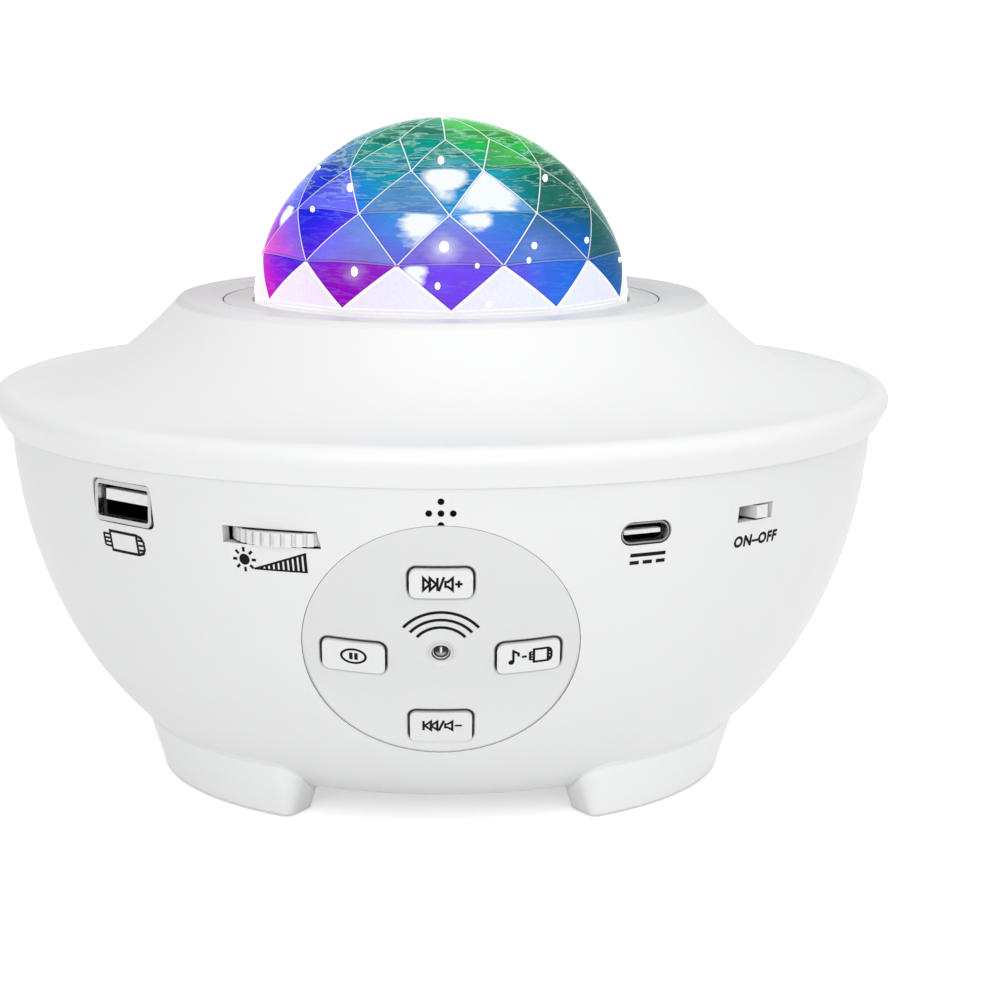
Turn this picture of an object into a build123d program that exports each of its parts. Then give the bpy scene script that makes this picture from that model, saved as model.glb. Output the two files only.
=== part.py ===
from build123d import *
import os
from math import acos, atan2, cos, degrees, hypot, pi, radians, sin, tan

os.makedirs("parts", exist_ok=True)

# Star night light projector: a round bowl on three feet, a saucer-shaped cover with a
# short neck, and a faceted dome with the lamp, the laser and their turning discs inside.
# Millimetres, +Z up, the controls face -Y. The origin is the middle of the floor circle.
# An azimuth is measured from the front, positive towards +X, in degrees.

# ------------------------------------------------------------------ sizes: the outside
bowl_floor_height = 5.0        # flat underside above the floor
bowl_floor_radius = 47.6
seam_height = 65.0             # where the cover sits on the bowl
bowl_mouth_radius = 79.4
bowl_side_draw = 1.3           # how far the side curve draws in below the mouth
bowl_side_drop = 24.6
bowl_heel_reach = 19.3         # how far the side curve reaches out above the floor edge
bowl_heel_rise = 11.1
wall = 2.4                     # moulded wall of the bowl
post_root = 0.7                # posts run this far into the wall that carries them
cut_margin = 0.05              # a cut runs this far past the face that it opens
tongue_thickness = 1.4         # locating tongue inside the seam
tongue_height = 2.0
tongue_gap = 0.2
tongue_step = 0.6              # tongue's inner face stands inside the bowl's inner wall

cover_wall = 2.2
rim_overhang = 1.2             # the cover's rim stands out over the bowl
rim_flare = 1.7
rim_flare_height = 3.3
brim_inset = 1.9               # from the rim's lower edge in to the crease of the brim
brim_rise = 6.4                # crease above the seam
brim_flat_reach = 11.2
brim_flat_drop = 1.3
neck_rise = 22.5               # neck top above the seam
neck_land = 5.3                # flat top of the neck outside the dome's recess
neck_slope_reach = 9.6
neck_slope_drop = 10.5
neck_edge_rounding = 0.9
neck_plate = 2.0               # thickness of the neck's flat top

# ------------------------------------------------------------------ sizes: feet and pads
foot_count = 3
foot_azimuth = 60.0            # middle of the first foot
foot_span = 59.0               # angle that a foot covers at its sole
foot_inset = 3.1               # foot's inner face inside the bowl's floor edge
foot_width = 7.9
foot_height = 12.0             # up to where the foot has run into the bowl
foot_taper = 17.0
foot_corner = 1.6
pad_proud = 0.3
pad_thickness = 1.1
pad_margin = 0.7               # plastic left round the pad's pocket
pad_gap = 0.15

# ------------------------------------------------------------------ sizes: dome and its ring
dome_sides = 11
dome_turn = 2.9                # azimuth of the first base corner
dome_radius = 34.6
# each ring of corners: how far inside the dome's radius and how far below its top
dome_ring_places = ((0.0, 32.3), (1.4, 24.6), (5.3, 15.9), (11.8, 8.5), (19.6, 3.5))
dome_rise = 33.5               # dome top above the ring's face
dome_wall = 3.2
dome_skirt_rise = 0.6
dome_skirt_gap = 0.1
dome_flange_width = 5.3
dome_flange_thickness = 1.5
ring_inner_gap = 0.35
ring_thickness = 2.0
ring_overhang = 0.4            # ring stands out past the dome's flange
ring_rounding = 0.33
ring_screw_bite = 1.2
ring_fit = 0.2
ring_sink = 0.8                # ring's face below the neck's top
recess_bevel = 2.4             # width of the slope from the neck's top down to the ring
ledge_thickness = 2.2
ledge_opening_gap = 1.0        # ledge's opening round the dome's base

# ------------------------------------------------------------------ sizes: control panel
panel_drop = 28.8              # middle of the panel below the seam
panel_lean = 2.18              # the panel looks down by this angle more than the wall does
panel_radius = 22.9
panel_gap = 0.12
panel_thickness = 1.1
panel_bed_gap = 0.1
key_hole_width = 10.9
key_corner = 1.5
key_gap = 0.3
key_proud = 0.6
key_travel = 0.5
key_flange_margin = 0.9
key_flange_gap = 0.79          # flange's front behind the wall's deepest place
key_flange_thickness = 1.0
key_stem_radius = 1.6
key_stem_length = 1.0
key_spread = 14.3
key_side_drop = 1.1
key_top_rise = 13.4
key_bottom_drop = 15.7
key_top_tall = 5.4
key_side_tall = 6.3
key_bottom_tall = 7.7
switch_clearance = 0.05        # left under a pressed key
tact_size = 6.0
tact_body_height = 3.5
tact_plunger_height = 0.8
tact_plunger_radius = 1.7
button_board_edge = 2.2        # board beyond the outer tact switches
button_board_heel = 0.8        # board below the lowest tact switch
button_board_top = 9.2
button_board_tab_width = 12.0  # narrow tab behind the upper key, clear of the wheel
button_board_tab_edge = 0.6    # tab above the upper tact switch
button_board_thickness = 1.6
button_post_radius = 2.3
button_post_spread = 14.0
button_post_rise = 6.3
button_post_drop = 13.0
window_radius = 1.45
window_rounding = 0.48
window_gap = 0.12
window_flange_radius = 2.6
window_flange_thickness = 0.8
window_seat_gap = 0.1
window_dish_radius = 2.3
window_dish_depth = 0.5
receiver_width = 5.0
receiver_tall = 5.6
receiver_gap = 1.15
receiver_lens_radius = 1.25

# ------------------------------------------------------------------ sizes: ports and main board
board_thickness = 1.6
board_drop = 11.8              # board's top below the seam
board_wall_gap = 0.4
board_width = 20.7
board_half_angle = 57.0
board_notch_width = 44.0
board_notch_depth = 14.9
board_post_radius = 2.8
board_post_inset = 6.9         # posts, from the board's outer edge
board_post_azimuths = (-53.5, -33.0, 33.0, 53.5)
board_chip_inset = 17.5
board_chip_azimuths = (-50.0, -8.0, 12.0)
# length, width and height of each chip
board_chip_sizes = ((7.0, 5.0, 1.5), (6.0, 4.0, 1.2), (5.0, 4.0, 1.2))

usb_a_azimuth = -42.6
usb_a_rise = 5.25              # socket's middle above the board
usb_a_width = 13.4
usb_a_tall = 6.3
usb_a_depth = 14.0
usb_a_sheet = 0.4
usb_a_lip = 0.35
usb_a_lip_depth = 0.6
usb_a_sink = 0.35
usb_a_corner = 0.9
usb_a_tongue_width = 11.1
usb_a_tongue_thickness = 1.84
usb_a_tongue_drop = 0.95       # space over the tongue
usb_a_core_depth = 3.6
usb_a_tongue_sink = 1.2
usb_a_front_leg = 3.5          # front pair of legs behind the mouth

usb_c_azimuth = 25.2
usb_c_rise = 2.8
usb_c_width = 8.94
usb_c_tall = 3.5
usb_c_depth = 7.6
usb_c_sheet = 0.3
usb_c_sink = 0.5
usb_c_tongue_width = 6.7
usb_c_tongue_thickness = 0.7
usb_c_core_depth = 1.8
usb_c_tongue_sink = 1.0
usb_c_leg_sheet = 0.6
port_gap = 0.25                # wall opening round a port
leg_width = 1.6

dimmer_slot_azimuth = -20.8
dimmer_azimuth = -19.8
dimmer_rise = 2.5
dimmer_slot_width = 16.8
dimmer_slot_gap = 0.35         # slot above and below the wheel
dimmer_radius = 10.5
dimmer_thickness = 2.2
dimmer_proud = 1.9
dimmer_grooves = 36
dimmer_groove_depth = 0.45
dimmer_groove_width = 0.8
dimmer_gap = 0.5
dimmer_base_radius = 5.2
dimmer_base_gap = 0.3
dimmer_hub_radius = 1.5
running_fit = 0.05

switch_azimuth = 41.9
switch_rise = 3.9
switch_slot_side = 1.55        # slot beyond the knob's travel at each end
switch_slot_gap = 0.3
switch_knob_width = 2.6
switch_knob_tall = 2.2
switch_knob_proud = 1.0
switch_travel = 2.7
switch_body_side = 0.6         # body beyond each end of the slot
switch_knob_rounding = 0.26
switch_body_depth = 4.5
switch_body_gap = 0.35
switch_body_cap = 1.2          # body above the knob's channel
switch_channel_depth = 3.2
switch_fit = 0.3

mic_drop = 4.3                 # microphone's middle below the seam
mic_hole_radius = 0.55
mic_hole_pitch = 1.95
mic_radius = 3.0
mic_depth = 2.2
mic_fit = 0.1
mic_holder_wall = 1.0
mic_holder_depth = 3.4

# ------------------------------------------------------------------ sizes: underside and speaker
base_inset = 2.2               # base cover's edge inside the feet
base_fit = 0.2
base_flange = 1.4
base_rebate = 5.5              # width of the seat round the opening
base_screw_inset = 2.3
base_boss_radius = 2.7
base_boss_height = 6.0
slot_width = 2.2
slot_row_radii = (6.0, 10.5, 15.0)
slot_row_counts = (4, 6, 8)
slot_share = 0.62              # part of each row's pitch that is open
speaker_radius = 20.0
speaker_flange = 1.2
speaker_depth = 8.6
speaker_neck_radius = 10.4
speaker_sheet = 1.0
speaker_cone_radius = 16.2
speaker_cone_gap = 0.4         # basket's opening round the cone
speaker_throat_gap = 0.5
speaker_cone_sheet = 0.6
speaker_lift = 0.8             # cone edge above the grille
speaker_rim_width = 1.6        # flat edge of the cone
speaker_cap_radius = 5.2
speaker_cone_rise = 4.7
speaker_cap_dip = 1.9          # the dust cap hangs this far into the cone
speaker_screw_head = 4.2       # washer head that holds the flange's edge
speaker_screw_bite = 1.7
magnet_radius = 10.0
magnet_height = 6.0
magnet_chamfer = 0.5
speaker_boss_radius = 2.6
speaker_boss_gap = 0.8
speaker_boss_azimuths = (0, 90, 180, 270)

# ------------------------------------------------------------------ sizes: screws
screw_fit = 0.05
cover_screw_inset = 4.0        # long screws, from the feet's inner face
cover_tube_radius = 4.2
cover_tube_bore = 2.9
cover_tube_drop = 2.0          # tube's top below the seam
cover_tube_seat = 11.0         # seat of the screw head below the tube's top
cover_boss_radius = 3.6
cover_screw_head = 2.7
cover_screw_shank = 1.4
cover_screw_length = 20.0
small_head = 2.1
small_head_height = 1.3
small_shank = 0.95
small_length = 6.0

# ------------------------------------------------------------------ sizes: optics and drive
chassis_thickness = 2.0
chassis_rise = 1.0             # underside above the seam
chassis_boss_gap = 1.5         # chassis's edge inside the cover's bosses
chassis_post_inset = 4.1
chassis_post_radius = 3.0
chassis_post_azimuths = (0, 120, 240)
sink_margin = 1.0              # heat sink beyond the lamp board
sink_height = 5.0
sink_fins = 18
sink_fin_depth = 4.0
sink_slot_width = 2.0
led_board_radius = 16.0
led_board_thickness = 1.6
led_reach = 9.0
led_count = 4
led_size = 5.0
led_package = 1.4
led_dome_radius = 1.9
led_screw_reach = 13.0
axle_radius = 1.0
axle_shoulder_radius = 2.0
axle_cap_radius = 2.0
axle_cap_height = 0.8
axle_end_play = 0.2
gear_module = 0.8
wave_teeth = 72
pinion_teeth = 12
grating_teeth = 20
gear_backlash = 0.16
gear_addendum = 0.9            # in modules, a little under one so the roots stay clear
gear_dedendum = 1.25
pressure_angle = 20.0
wave_gear_height = 3.0
wave_gear_lift = 3.4           # gear's underside above the lamp board
wave_rim_width = 2.8
wave_web_lift = 1.4
wave_web = 1.2
wave_hub_radius = 3.4
wave_lens_counts = (5, 9)
# reach, radius and height of each ring's lenses
wave_lens_sizes = ((9.5, 4.2, 1.7), (19.5, 4.6, 2.0))
motor_azimuth = 150.0
motor_radius = 8.0
motor_height = 17.0
motor_shaft_depth = 4.0
motor_boss_radius = 3.0
motor_rounding = 1.0
motor_ear_reach = 5.6          # the motor's screws, from its shaft
pinion_gap = 0.5               # pinion's top under the cover's ledge
pinion_lift = 3.0              # pinion's underside above the chassis
grating_offset = 5.2           # grating axle beyond the laser's beam
grating_lift = 3.4
grating_thickness = 2.2
grating_film = 0.6
grating_rim_width = 1.4
grating_hub_radius = 2.2
grating_shoulder_radius = 1.5
grating_cap_height = 0.4
laser_radius = 3.25
laser_length = 16.0
laser_mouth_radius = 1.08
laser_mouth_depth = 0.5
laser_sink_gap = 1.55
laser_gap = 1.0                # laser's top under the grating wheel
laser_clamp_radius = 5.4
laser_clamp_height = 3.0
hole_fit = 0.1

# ------------------------------------------------------------------ levels worked out from the sizes
floor_inside = bowl_floor_height + wall
foot_inner_radius = bowl_floor_radius - foot_inset
foot_outer_radius = foot_inner_radius + foot_width
base_radius = foot_inner_radius - base_inset
base_opening_radius = base_radius - base_rebate
base_screw_reach = base_radius - base_screw_inset
speaker_boss_reach = speaker_radius + speaker_boss_radius + speaker_boss_gap
cover_screw_reach = foot_inner_radius + cover_screw_inset
neck_top = seam_height + neck_rise
ring_top = neck_top - ring_sink
ring_bottom = ring_top - ring_thickness
ledge_top = ring_bottom - dome_flange_thickness
ledge_bottom = ledge_top - ledge_thickness
dome_top = ring_top + dome_rise
dome_flange_radius = dome_radius + dome_flange_width
ring_outer_radius = dome_flange_radius + ring_overhang
ledge_inner_radius = dome_radius + ledge_opening_gap
rim_low_radius = bowl_mouth_radius + rim_overhang
crease_radius = rim_low_radius - brim_inset
crease_height = seam_height + brim_rise
recess_radius = ring_outer_radius + ring_fit
neck_radius = recess_radius + recess_bevel + neck_land
tongue_outer_radius = bowl_mouth_radius - wall - tongue_step + tongue_thickness
cover_tube_top = seam_height - cover_tube_drop
cover_seat_height = cover_tube_top - cover_tube_seat
chassis_bottom = seam_height + chassis_rise
chassis_top = chassis_bottom + chassis_thickness
chassis_radius = cover_screw_reach - cover_boss_radius - chassis_boss_gap
chassis_post_reach = chassis_radius - chassis_post_inset
sink_radius = led_board_radius + sink_margin
laser_reach = sink_radius + laser_radius + laser_sink_gap
grating_reach = laser_reach + grating_offset
sink_top = chassis_top + sink_height
led_board_top = sink_top + led_board_thickness
wave_bottom = led_board_top + wave_gear_lift
wave_top = wave_bottom + wave_gear_height
panel_height = seam_height - panel_drop
board_top = seam_height - board_drop
board_bottom = board_top - board_thickness
usb_a_height = board_top + usb_a_rise
usb_c_height = board_top + usb_c_rise
dimmer_height = board_top + dimmer_rise
dimmer_slot_tall = dimmer_thickness + 2 * dimmer_slot_gap
switch_height = board_top + switch_rise
switch_slot_width = switch_knob_width + switch_travel + 2 * switch_slot_side
switch_slot_tall = switch_knob_tall + 2 * switch_slot_gap
switch_body_width = switch_slot_width + 2 * switch_body_side
mic_height = seam_height - mic_drop
button_board_width = 2 * (key_spread + tact_size / 2 + button_board_edge)
button_board_bottom = key_bottom_drop + tact_size / 2 + button_board_heel
button_board_tab_top = key_top_rise + tact_size / 2 + button_board_tab_edge

FRONT_HALF = Plane.XZ
UP = (Align.CENTER, Align.CENTER, Align.MIN)
DOWN = (Align.CENTER, Align.CENTER, Align.MAX)


# ------------------------------------------------------------------ helpers
def spot(reach, azimuth, height):
    """A point at a distance from the middle."""
    turn = radians(azimuth)
    return (reach * sin(turn), -reach * cos(turn), height)


def spots(reach, azimuths, height):
    """Upright places at one distance from the middle."""
    return [Location(spot(reach, azimuth, height)) for azimuth in azimuths]


def outward(azimuth, reach, height, droop=0.0):
    """A plane on the side: x to the right, y up, z outwards."""
    turn = radians(azimuth)
    tilt = radians(droop)
    return Plane(
        origin=spot(reach, azimuth, height),
        x_dir=(cos(turn), sin(turn), 0),
        z_dir=(sin(turn) * cos(tilt), -cos(turn) * cos(tilt), -sin(tilt)),
    )


def beside(curve, depth, count=14):
    """Points beside a profile curve that runs outwards or down, moved into the wall."""
    points = []
    for step in range(count + 1):
        place = curve @ (step / count)
        heading = curve % (step / count)
        points.append((place.X + depth * heading.Y, place.Y - depth * heading.X))
    return points


def share_at(curve, height):
    """How far along a profile curve that runs down it reaches a height, from 0 to 1."""
    low, high = 0.0, 1.0
    for _ in range(40):
        middle = (low + high) / 2
        if (curve @ middle).Y > height:
            low = middle
        else:
            high = middle
    return low


def radius_at(curve, height):
    """Radius of a profile curve that runs down, at a height."""
    return (curve @ share_at(curve, height)).X


def make_screws(places, head_radius, head_height, shank_radius, length):
    """A group of like screws: each place is its head's seat, with the shank along -z."""
    with BuildPart() as screws:
        with Locations(*places):
            Cylinder(head_radius, head_height, align=UP)
            Cylinder(shank_radius, length, align=DOWN)
    return screws


def sector(inner_radius, outer_radius, azimuth, span, corner=0.0):
    """Face of a ring sector about an azimuth, for use in an open sketch."""
    far = 2 * outer_radius / cos(radians(span / 2))
    with BuildSketch(mode=Mode.PRIVATE) as face:
        Circle(outer_radius)
        Circle(inner_radius, mode=Mode.SUBTRACT)
        left = spot(far, azimuth - span / 2, 0)
        right = spot(far, azimuth + span / 2, 0)
        with BuildLine():
            Polyline((0, 0), left[:2], right[:2], close=True)
        make_face(mode=Mode.INTERSECT)
        if corner > 0:
            fillet(face.vertices(), corner)
    return face.sketch


# ------------------------------------------------------------------ the two profile curves
bowl_curve = Bezier(
    (bowl_mouth_radius, seam_height),
    (bowl_mouth_radius - bowl_side_draw, seam_height - bowl_side_drop),
    (bowl_floor_radius + bowl_heel_reach, bowl_floor_height + bowl_heel_rise),
    (bowl_floor_radius, bowl_floor_height),
)
brim_curve = Bezier(
    (neck_radius, neck_top),
    (neck_radius + neck_slope_reach, neck_top - neck_slope_drop),
    (crease_radius - brim_flat_reach, crease_height - brim_flat_drop),
    (crease_radius, crease_height),
)


def bowl_solid(depth, floor=None):
    """Everything inside the bowl's side, moved inwards by depth, above the floor if given."""
    side = beside(bowl_curve, depth)
    with BuildPart() as solid:
        with BuildSketch(FRONT_HALF):
            with BuildLine():
                Spline(*side)
                Polyline(side[-1], (0, side[-1][1]), (0, side[0][1]), side[0])
            make_face()
        revolve(axis=Axis.Z)
        if floor is not None:
            split(bisect_by=Plane.XY.offset(floor), keep=Keep.TOP)
    return solid.part


def cover_solid():
    """The cover's outer form, filled down to the seam."""
    with BuildPart() as solid:
        with BuildSketch(FRONT_HALF):
            with BuildLine():
                low = (rim_low_radius, seam_height)
                lip = (rim_low_radius + rim_flare, seam_height + rim_flare_height)
                Line(low, lip)
                TangentArc(lip, (crease_radius, crease_height), tangent=(rim_flare, rim_flare_height))
                Spline(*reversed(beside(brim_curve, 0)))
                Polyline((neck_radius, neck_top), (0, neck_top), (0, seam_height), low)
            make_face()
        revolve(axis=Axis.Z)
    return solid.part


def depth_behind_panel(across, up):
    """How far behind the panel's middle the wall's inner side lies, straight behind a place."""
    near, far = 0.0, panel_radius
    for _ in range(40):
        middle = (near + far) / 2
        place = panel_plane.from_local_coords((across, up, -middle))
        if hypot(place.X, place.Y) < radius_at(wall_curve, place.Z):
            far = middle
        else:
            near = middle
    return far


wall_curve = Spline(*beside(bowl_curve, wall))
bowl_body = bowl_solid(0)
bowl_hollow = bowl_solid(wall, floor_inside)
cover_body = cover_solid()
foot_azimuths = [foot_azimuth + 360 / foot_count * k for k in range(foot_count)]

# ------------------------------------------------------------------ planes of the controls
wall_heading = bowl_curve % share_at(bowl_curve, panel_height)
panel_droop = degrees(atan2(-wall_heading.X, -wall_heading.Y)) + panel_lean
panel_plane = outward(0, radius_at(bowl_curve, panel_height), panel_height, panel_droop)
panel_axis = Axis(panel_plane.origin, panel_plane.z_dir)
KEYS = {
    "next_button": (0, key_top_rise, key_top_tall),
    "pause_button": (-key_spread, -key_side_drop, key_side_tall),
    "mode_button": (key_spread, -key_side_drop, key_side_tall),
    "previous_button": (0, -key_bottom_drop, key_bottom_tall),
}
# the flanges of all the keys stand at one depth, clear of the wall's deepest place behind them
flange_corners = [
    (
        across + side * (key_hole_width / 2 - key_gap + key_flange_margin),
        up + end * (tall / 2 - key_gap + key_flange_margin),
    )
    for across, up, tall in KEYS.values()
    for side in (-1, 1)
    for end in (-1, 1)
]
key_flange_depth = max(depth_behind_panel(*corner) for corner in flange_corners) + key_flange_gap
key_stem_end = key_flange_depth + key_flange_thickness + key_stem_length
tact_top = key_stem_end + key_travel + switch_clearance
button_board_front = tact_top + tact_plunger_height + tact_body_height
button_board_back = button_board_front + button_board_thickness
button_posts = [
    (-button_post_spread, button_post_rise),
    (button_post_spread, button_post_rise),
    (-button_post_spread, -button_post_drop),
    (button_post_spread, -button_post_drop),
]

# the main board follows the bowl's wall
board_outer_radius = radius_at(bowl_curve, board_bottom) - wall - board_wall_gap
board_inner_radius = board_outer_radius - board_width
board_notch_radius = board_outer_radius - board_notch_depth
board_post_reach = board_outer_radius - board_post_inset
board_chip_reach = board_outer_radius - board_chip_inset

usb_a_plane = outward(usb_a_azimuth, radius_at(bowl_curve, usb_a_height) - usb_a_sink, usb_a_height)
usb_c_plane = outward(usb_c_azimuth, radius_at(bowl_curve, usb_c_height) - usb_c_sink, usb_c_height)
dimmer_slot_plane = outward(
    dimmer_slot_azimuth, radius_at(bowl_curve, dimmer_height) - wall, dimmer_height
)
dimmer_reach = radius_at(bowl_curve, dimmer_height) + dimmer_proud - dimmer_radius
dimmer_bottom = dimmer_height - dimmer_thickness / 2
# the switch stands clear of the wall at its foot, where the wall comes in furthest
switch_plane = outward(switch_azimuth, radius_at(bowl_curve, board_top) - wall, switch_height)
mic_plane = outward(0, radius_at(bowl_curve, mic_height) - wall, mic_height)
mic_holes = [
    (0, 0),
    (mic_hole_pitch, 0),
    (-mic_hole_pitch, 0),
    (0, mic_hole_pitch),
    (0, -mic_hole_pitch),
]

# ------------------------------------------------------------------ bowl housing with its feet
wall_cut = 4 * wall            # long enough to pass the curved wall both ways
post_limit = bowl_solid(wall - post_root)
panel_seat = bowl_solid(panel_thickness + panel_bed_gap)

with BuildPart() as wall_posts:
    with BuildSketch(panel_plane.offset(-button_board_front)):
        with Locations(*button_posts):
            Circle(button_post_radius)
    extrude(amount=button_board_front)
    with BuildSketch(Plane.XY.offset(board_bottom)):
        with Locations(*[spot(board_post_reach, a, 0)[:2] for a in board_post_azimuths]):
            Circle(board_post_radius)
    extrude(amount=-board_bottom + floor_inside)
    with BuildSketch(mic_plane.offset(wall / 2)):
        Circle(mic_radius + mic_fit + mic_holder_wall)
    extrude(amount=-mic_holder_depth - wall / 2)
    add(post_limit, mode=Mode.INTERSECT)

with BuildPart() as panel_bed:
    with BuildSketch(panel_plane):
        Circle(panel_radius)
    extrude(amount=wall_cut, both=True)
    add(panel_seat, mode=Mode.SUBTRACT)

with BuildPart() as bowl_housing:
    add(bowl_body)
    with BuildSketch(Plane.XY.offset(pad_proud)):
        for azimuth in foot_azimuths:
            add(sector(foot_inner_radius, foot_outer_radius, azimuth, foot_span, foot_corner))
    extrude(amount=foot_height, taper=-foot_taper)
    add(bowl_hollow, mode=Mode.SUBTRACT)
    # tubes for the long screws, bosses for the base cover, posts for the boards
    with BuildSketch(Plane.XY.offset(bowl_floor_height)):
        with Locations(*[spot(cover_screw_reach, a, 0)[:2] for a in foot_azimuths]):
            Circle(cover_tube_radius)
    extrude(amount=cover_tube_top - bowl_floor_height)
    with BuildSketch(Plane.XY.offset(bowl_floor_height + base_flange)):
        with Locations(*[spot(base_screw_reach, a + 60, 0)[:2] for a in foot_azimuths]):
            Circle(base_boss_radius)
    extrude(amount=base_boss_height)
    add(wall_posts.part)
    # tongue inside the seam
    with BuildSketch(Plane.XY.offset(seam_height - wall)):
        Circle(tongue_outer_radius)
        Circle(tongue_outer_radius - tongue_thickness, mode=Mode.SUBTRACT)
    extrude(amount=wall + tongue_height)
    # underside: opening and rebate for the base cover
    with BuildSketch(Plane.XY.offset(bowl_floor_height)):
        Circle(base_radius + base_fit)
    extrude(amount=base_flange, mode=Mode.SUBTRACT)
    with BuildSketch(Plane.XY.offset(bowl_floor_height)):
        Circle(base_opening_radius)
    extrude(amount=wall + cut_margin, mode=Mode.SUBTRACT)
    with Locations(*spots(base_screw_reach, [a + 60 for a in foot_azimuths], bowl_floor_height)):
        Cylinder(small_shank + screw_fit, small_length + small_head_height, align=UP, mode=Mode.SUBTRACT)
    # long screw bores and the pads' pockets
    with Locations(*spots(cover_screw_reach, foot_azimuths, 0)):
        Cylinder(cover_tube_bore, cover_seat_height, align=UP, mode=Mode.SUBTRACT)
        Cylinder(
            cover_screw_shank + screw_fit, cover_tube_top + cut_margin, align=UP, mode=Mode.SUBTRACT
        )
    with BuildSketch(Plane.XY.offset(pad_proud)):
        for azimuth in foot_azimuths:
            add(
                sector(
                    foot_inner_radius + pad_margin,
                    foot_outer_radius - pad_margin,
                    azimuth,
                    foot_span - degrees(2 * pad_margin / foot_inner_radius),
                    foot_corner - pad_margin,
                )
            )
    extrude(amount=pad_thickness - pad_proud, mode=Mode.SUBTRACT)
    # panel bed, key holes and window hole
    add(panel_bed.part, mode=Mode.SUBTRACT)
    with BuildSketch(panel_plane):
        for across, up, tall in KEYS.values():
            with Locations((across, up)):
                RectangleRounded(key_hole_width, tall, key_corner)
        Circle(window_radius + window_gap)
    extrude(amount=wall_cut, both=True, mode=Mode.SUBTRACT)
    with BuildSketch(panel_plane.offset(-button_board_front)):
        with Locations(*button_posts):
            Circle(small_shank + screw_fit)
    extrude(amount=small_length, mode=Mode.SUBTRACT)
    # board post pilots
    with Locations(*spots(board_post_reach, board_post_azimuths, board_bottom)):
        Cylinder(small_shank + screw_fit, small_length, align=DOWN, mode=Mode.SUBTRACT)
    # openings for the ports, the wheel, the switch and the microphone
    with BuildSketch(usb_a_plane):
        RectangleRounded(
            usb_a_width + 2 * (usb_a_lip + port_gap),
            usb_a_tall + 2 * (usb_a_lip + port_gap),
            usb_a_corner + port_gap,
        )
    extrude(amount=wall_cut, both=True, mode=Mode.SUBTRACT)
    with BuildSketch(usb_c_plane):
        SlotOverall(usb_c_width + 2 * port_gap, usb_c_tall + 2 * port_gap)
    extrude(amount=wall_cut, both=True, mode=Mode.SUBTRACT)
    with BuildSketch(dimmer_slot_plane):
        Rectangle(dimmer_slot_width, dimmer_slot_tall)
    extrude(amount=wall_cut, both=True, mode=Mode.SUBTRACT)
    with Locations(Location(spot(dimmer_reach, dimmer_azimuth, dimmer_height))):
        Cylinder(dimmer_radius + dimmer_gap, dimmer_slot_tall, mode=Mode.SUBTRACT)
    with BuildSketch(switch_plane):
        Rectangle(switch_slot_width, switch_slot_tall)
    extrude(amount=wall_cut, both=True, mode=Mode.SUBTRACT)
    with BuildSketch(mic_plane):
        with Locations(*mic_holes):
            Circle(mic_hole_radius)
    extrude(amount=wall_cut, mode=Mode.SUBTRACT)
    with BuildSketch(mic_plane):
        Circle(mic_radius + mic_fit)
    extrude(amount=-mic_holder_depth * 2, mode=Mode.SUBTRACT)
bowl_housing.part.label = "bowl_housing"
export_step(bowl_housing.part, "parts/bowl_housing.step")

# ------------------------------------------------------------------ pads under the feet
with BuildPart() as foot_pads:
    with BuildSketch(Plane.XY):
        for azimuth in foot_azimuths:
            pad_inset = pad_margin + pad_gap
            add(
                sector(
                    foot_inner_radius + pad_inset,
                    foot_outer_radius - pad_inset,
                    azimuth,
                    foot_span - degrees(2 * pad_inset / foot_inner_radius),
                    foot_corner - pad_margin,
                )
            )
    extrude(amount=pad_thickness)
foot_pads.part.label = "foot_pads"
export_step(foot_pads.part, "parts/foot_pads.step")

# ------------------------------------------------------------------ base cover with the sound slots
with BuildPart() as base_cover:
    with BuildSketch(Plane.XY.offset(bowl_floor_height)):
        Circle(base_radius)
    extrude(amount=base_flange)
    with BuildSketch(Plane.XY.offset(bowl_floor_height)):
        Circle(base_opening_radius - base_fit)
    extrude(amount=wall)
    with Locations(*spots(speaker_boss_reach, speaker_boss_azimuths, floor_inside)):
        Cylinder(speaker_boss_radius, speaker_flange, align=UP)
        Cylinder(small_shank + screw_fit, speaker_screw_bite, align=DOWN, mode=Mode.SUBTRACT)
        Cylinder(small_shank + screw_fit, speaker_flange, align=UP, mode=Mode.SUBTRACT)
    with BuildSketch(Plane.XY.offset(bowl_floor_height)):
        Circle(slot_width)
        for row_radius, row_count in zip(slot_row_radii, slot_row_counts):
            arc_span = 360 / row_count * slot_share
            with PolarLocations(0, row_count):
                SlotArc(CenterArc((0, 0), row_radius, 0, arc_span), slot_width)
    extrude(amount=wall, mode=Mode.SUBTRACT)
    with Locations(*spots(base_screw_reach, [a + 60 for a in foot_azimuths], bowl_floor_height)):
        Cone(small_head, small_shank, small_head_height, align=UP, mode=Mode.SUBTRACT)
        Cylinder(small_shank + screw_fit, base_flange, align=UP, mode=Mode.SUBTRACT)
base_cover.part.label = "base_cover"
export_step(base_cover.part, "parts/base_cover.step")

with BuildPart() as base_screws:
    with Locations(*spots(base_screw_reach, [a + 60 for a in foot_azimuths], bowl_floor_height)):
        Cone(small_head, small_shank, small_head_height, align=UP)
        Cylinder(small_shank, small_length, align=UP)
base_screws.part.label = "base_screws"
export_step(base_screws.part, "parts/base_screws.step")

# ------------------------------------------------------------------ top cover
cover_inside = beside(brim_curve, cover_wall)
cover_inside_radius = tongue_outer_radius + tongue_gap
ledge_wall_radius = recess_radius + cover_wall

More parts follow.
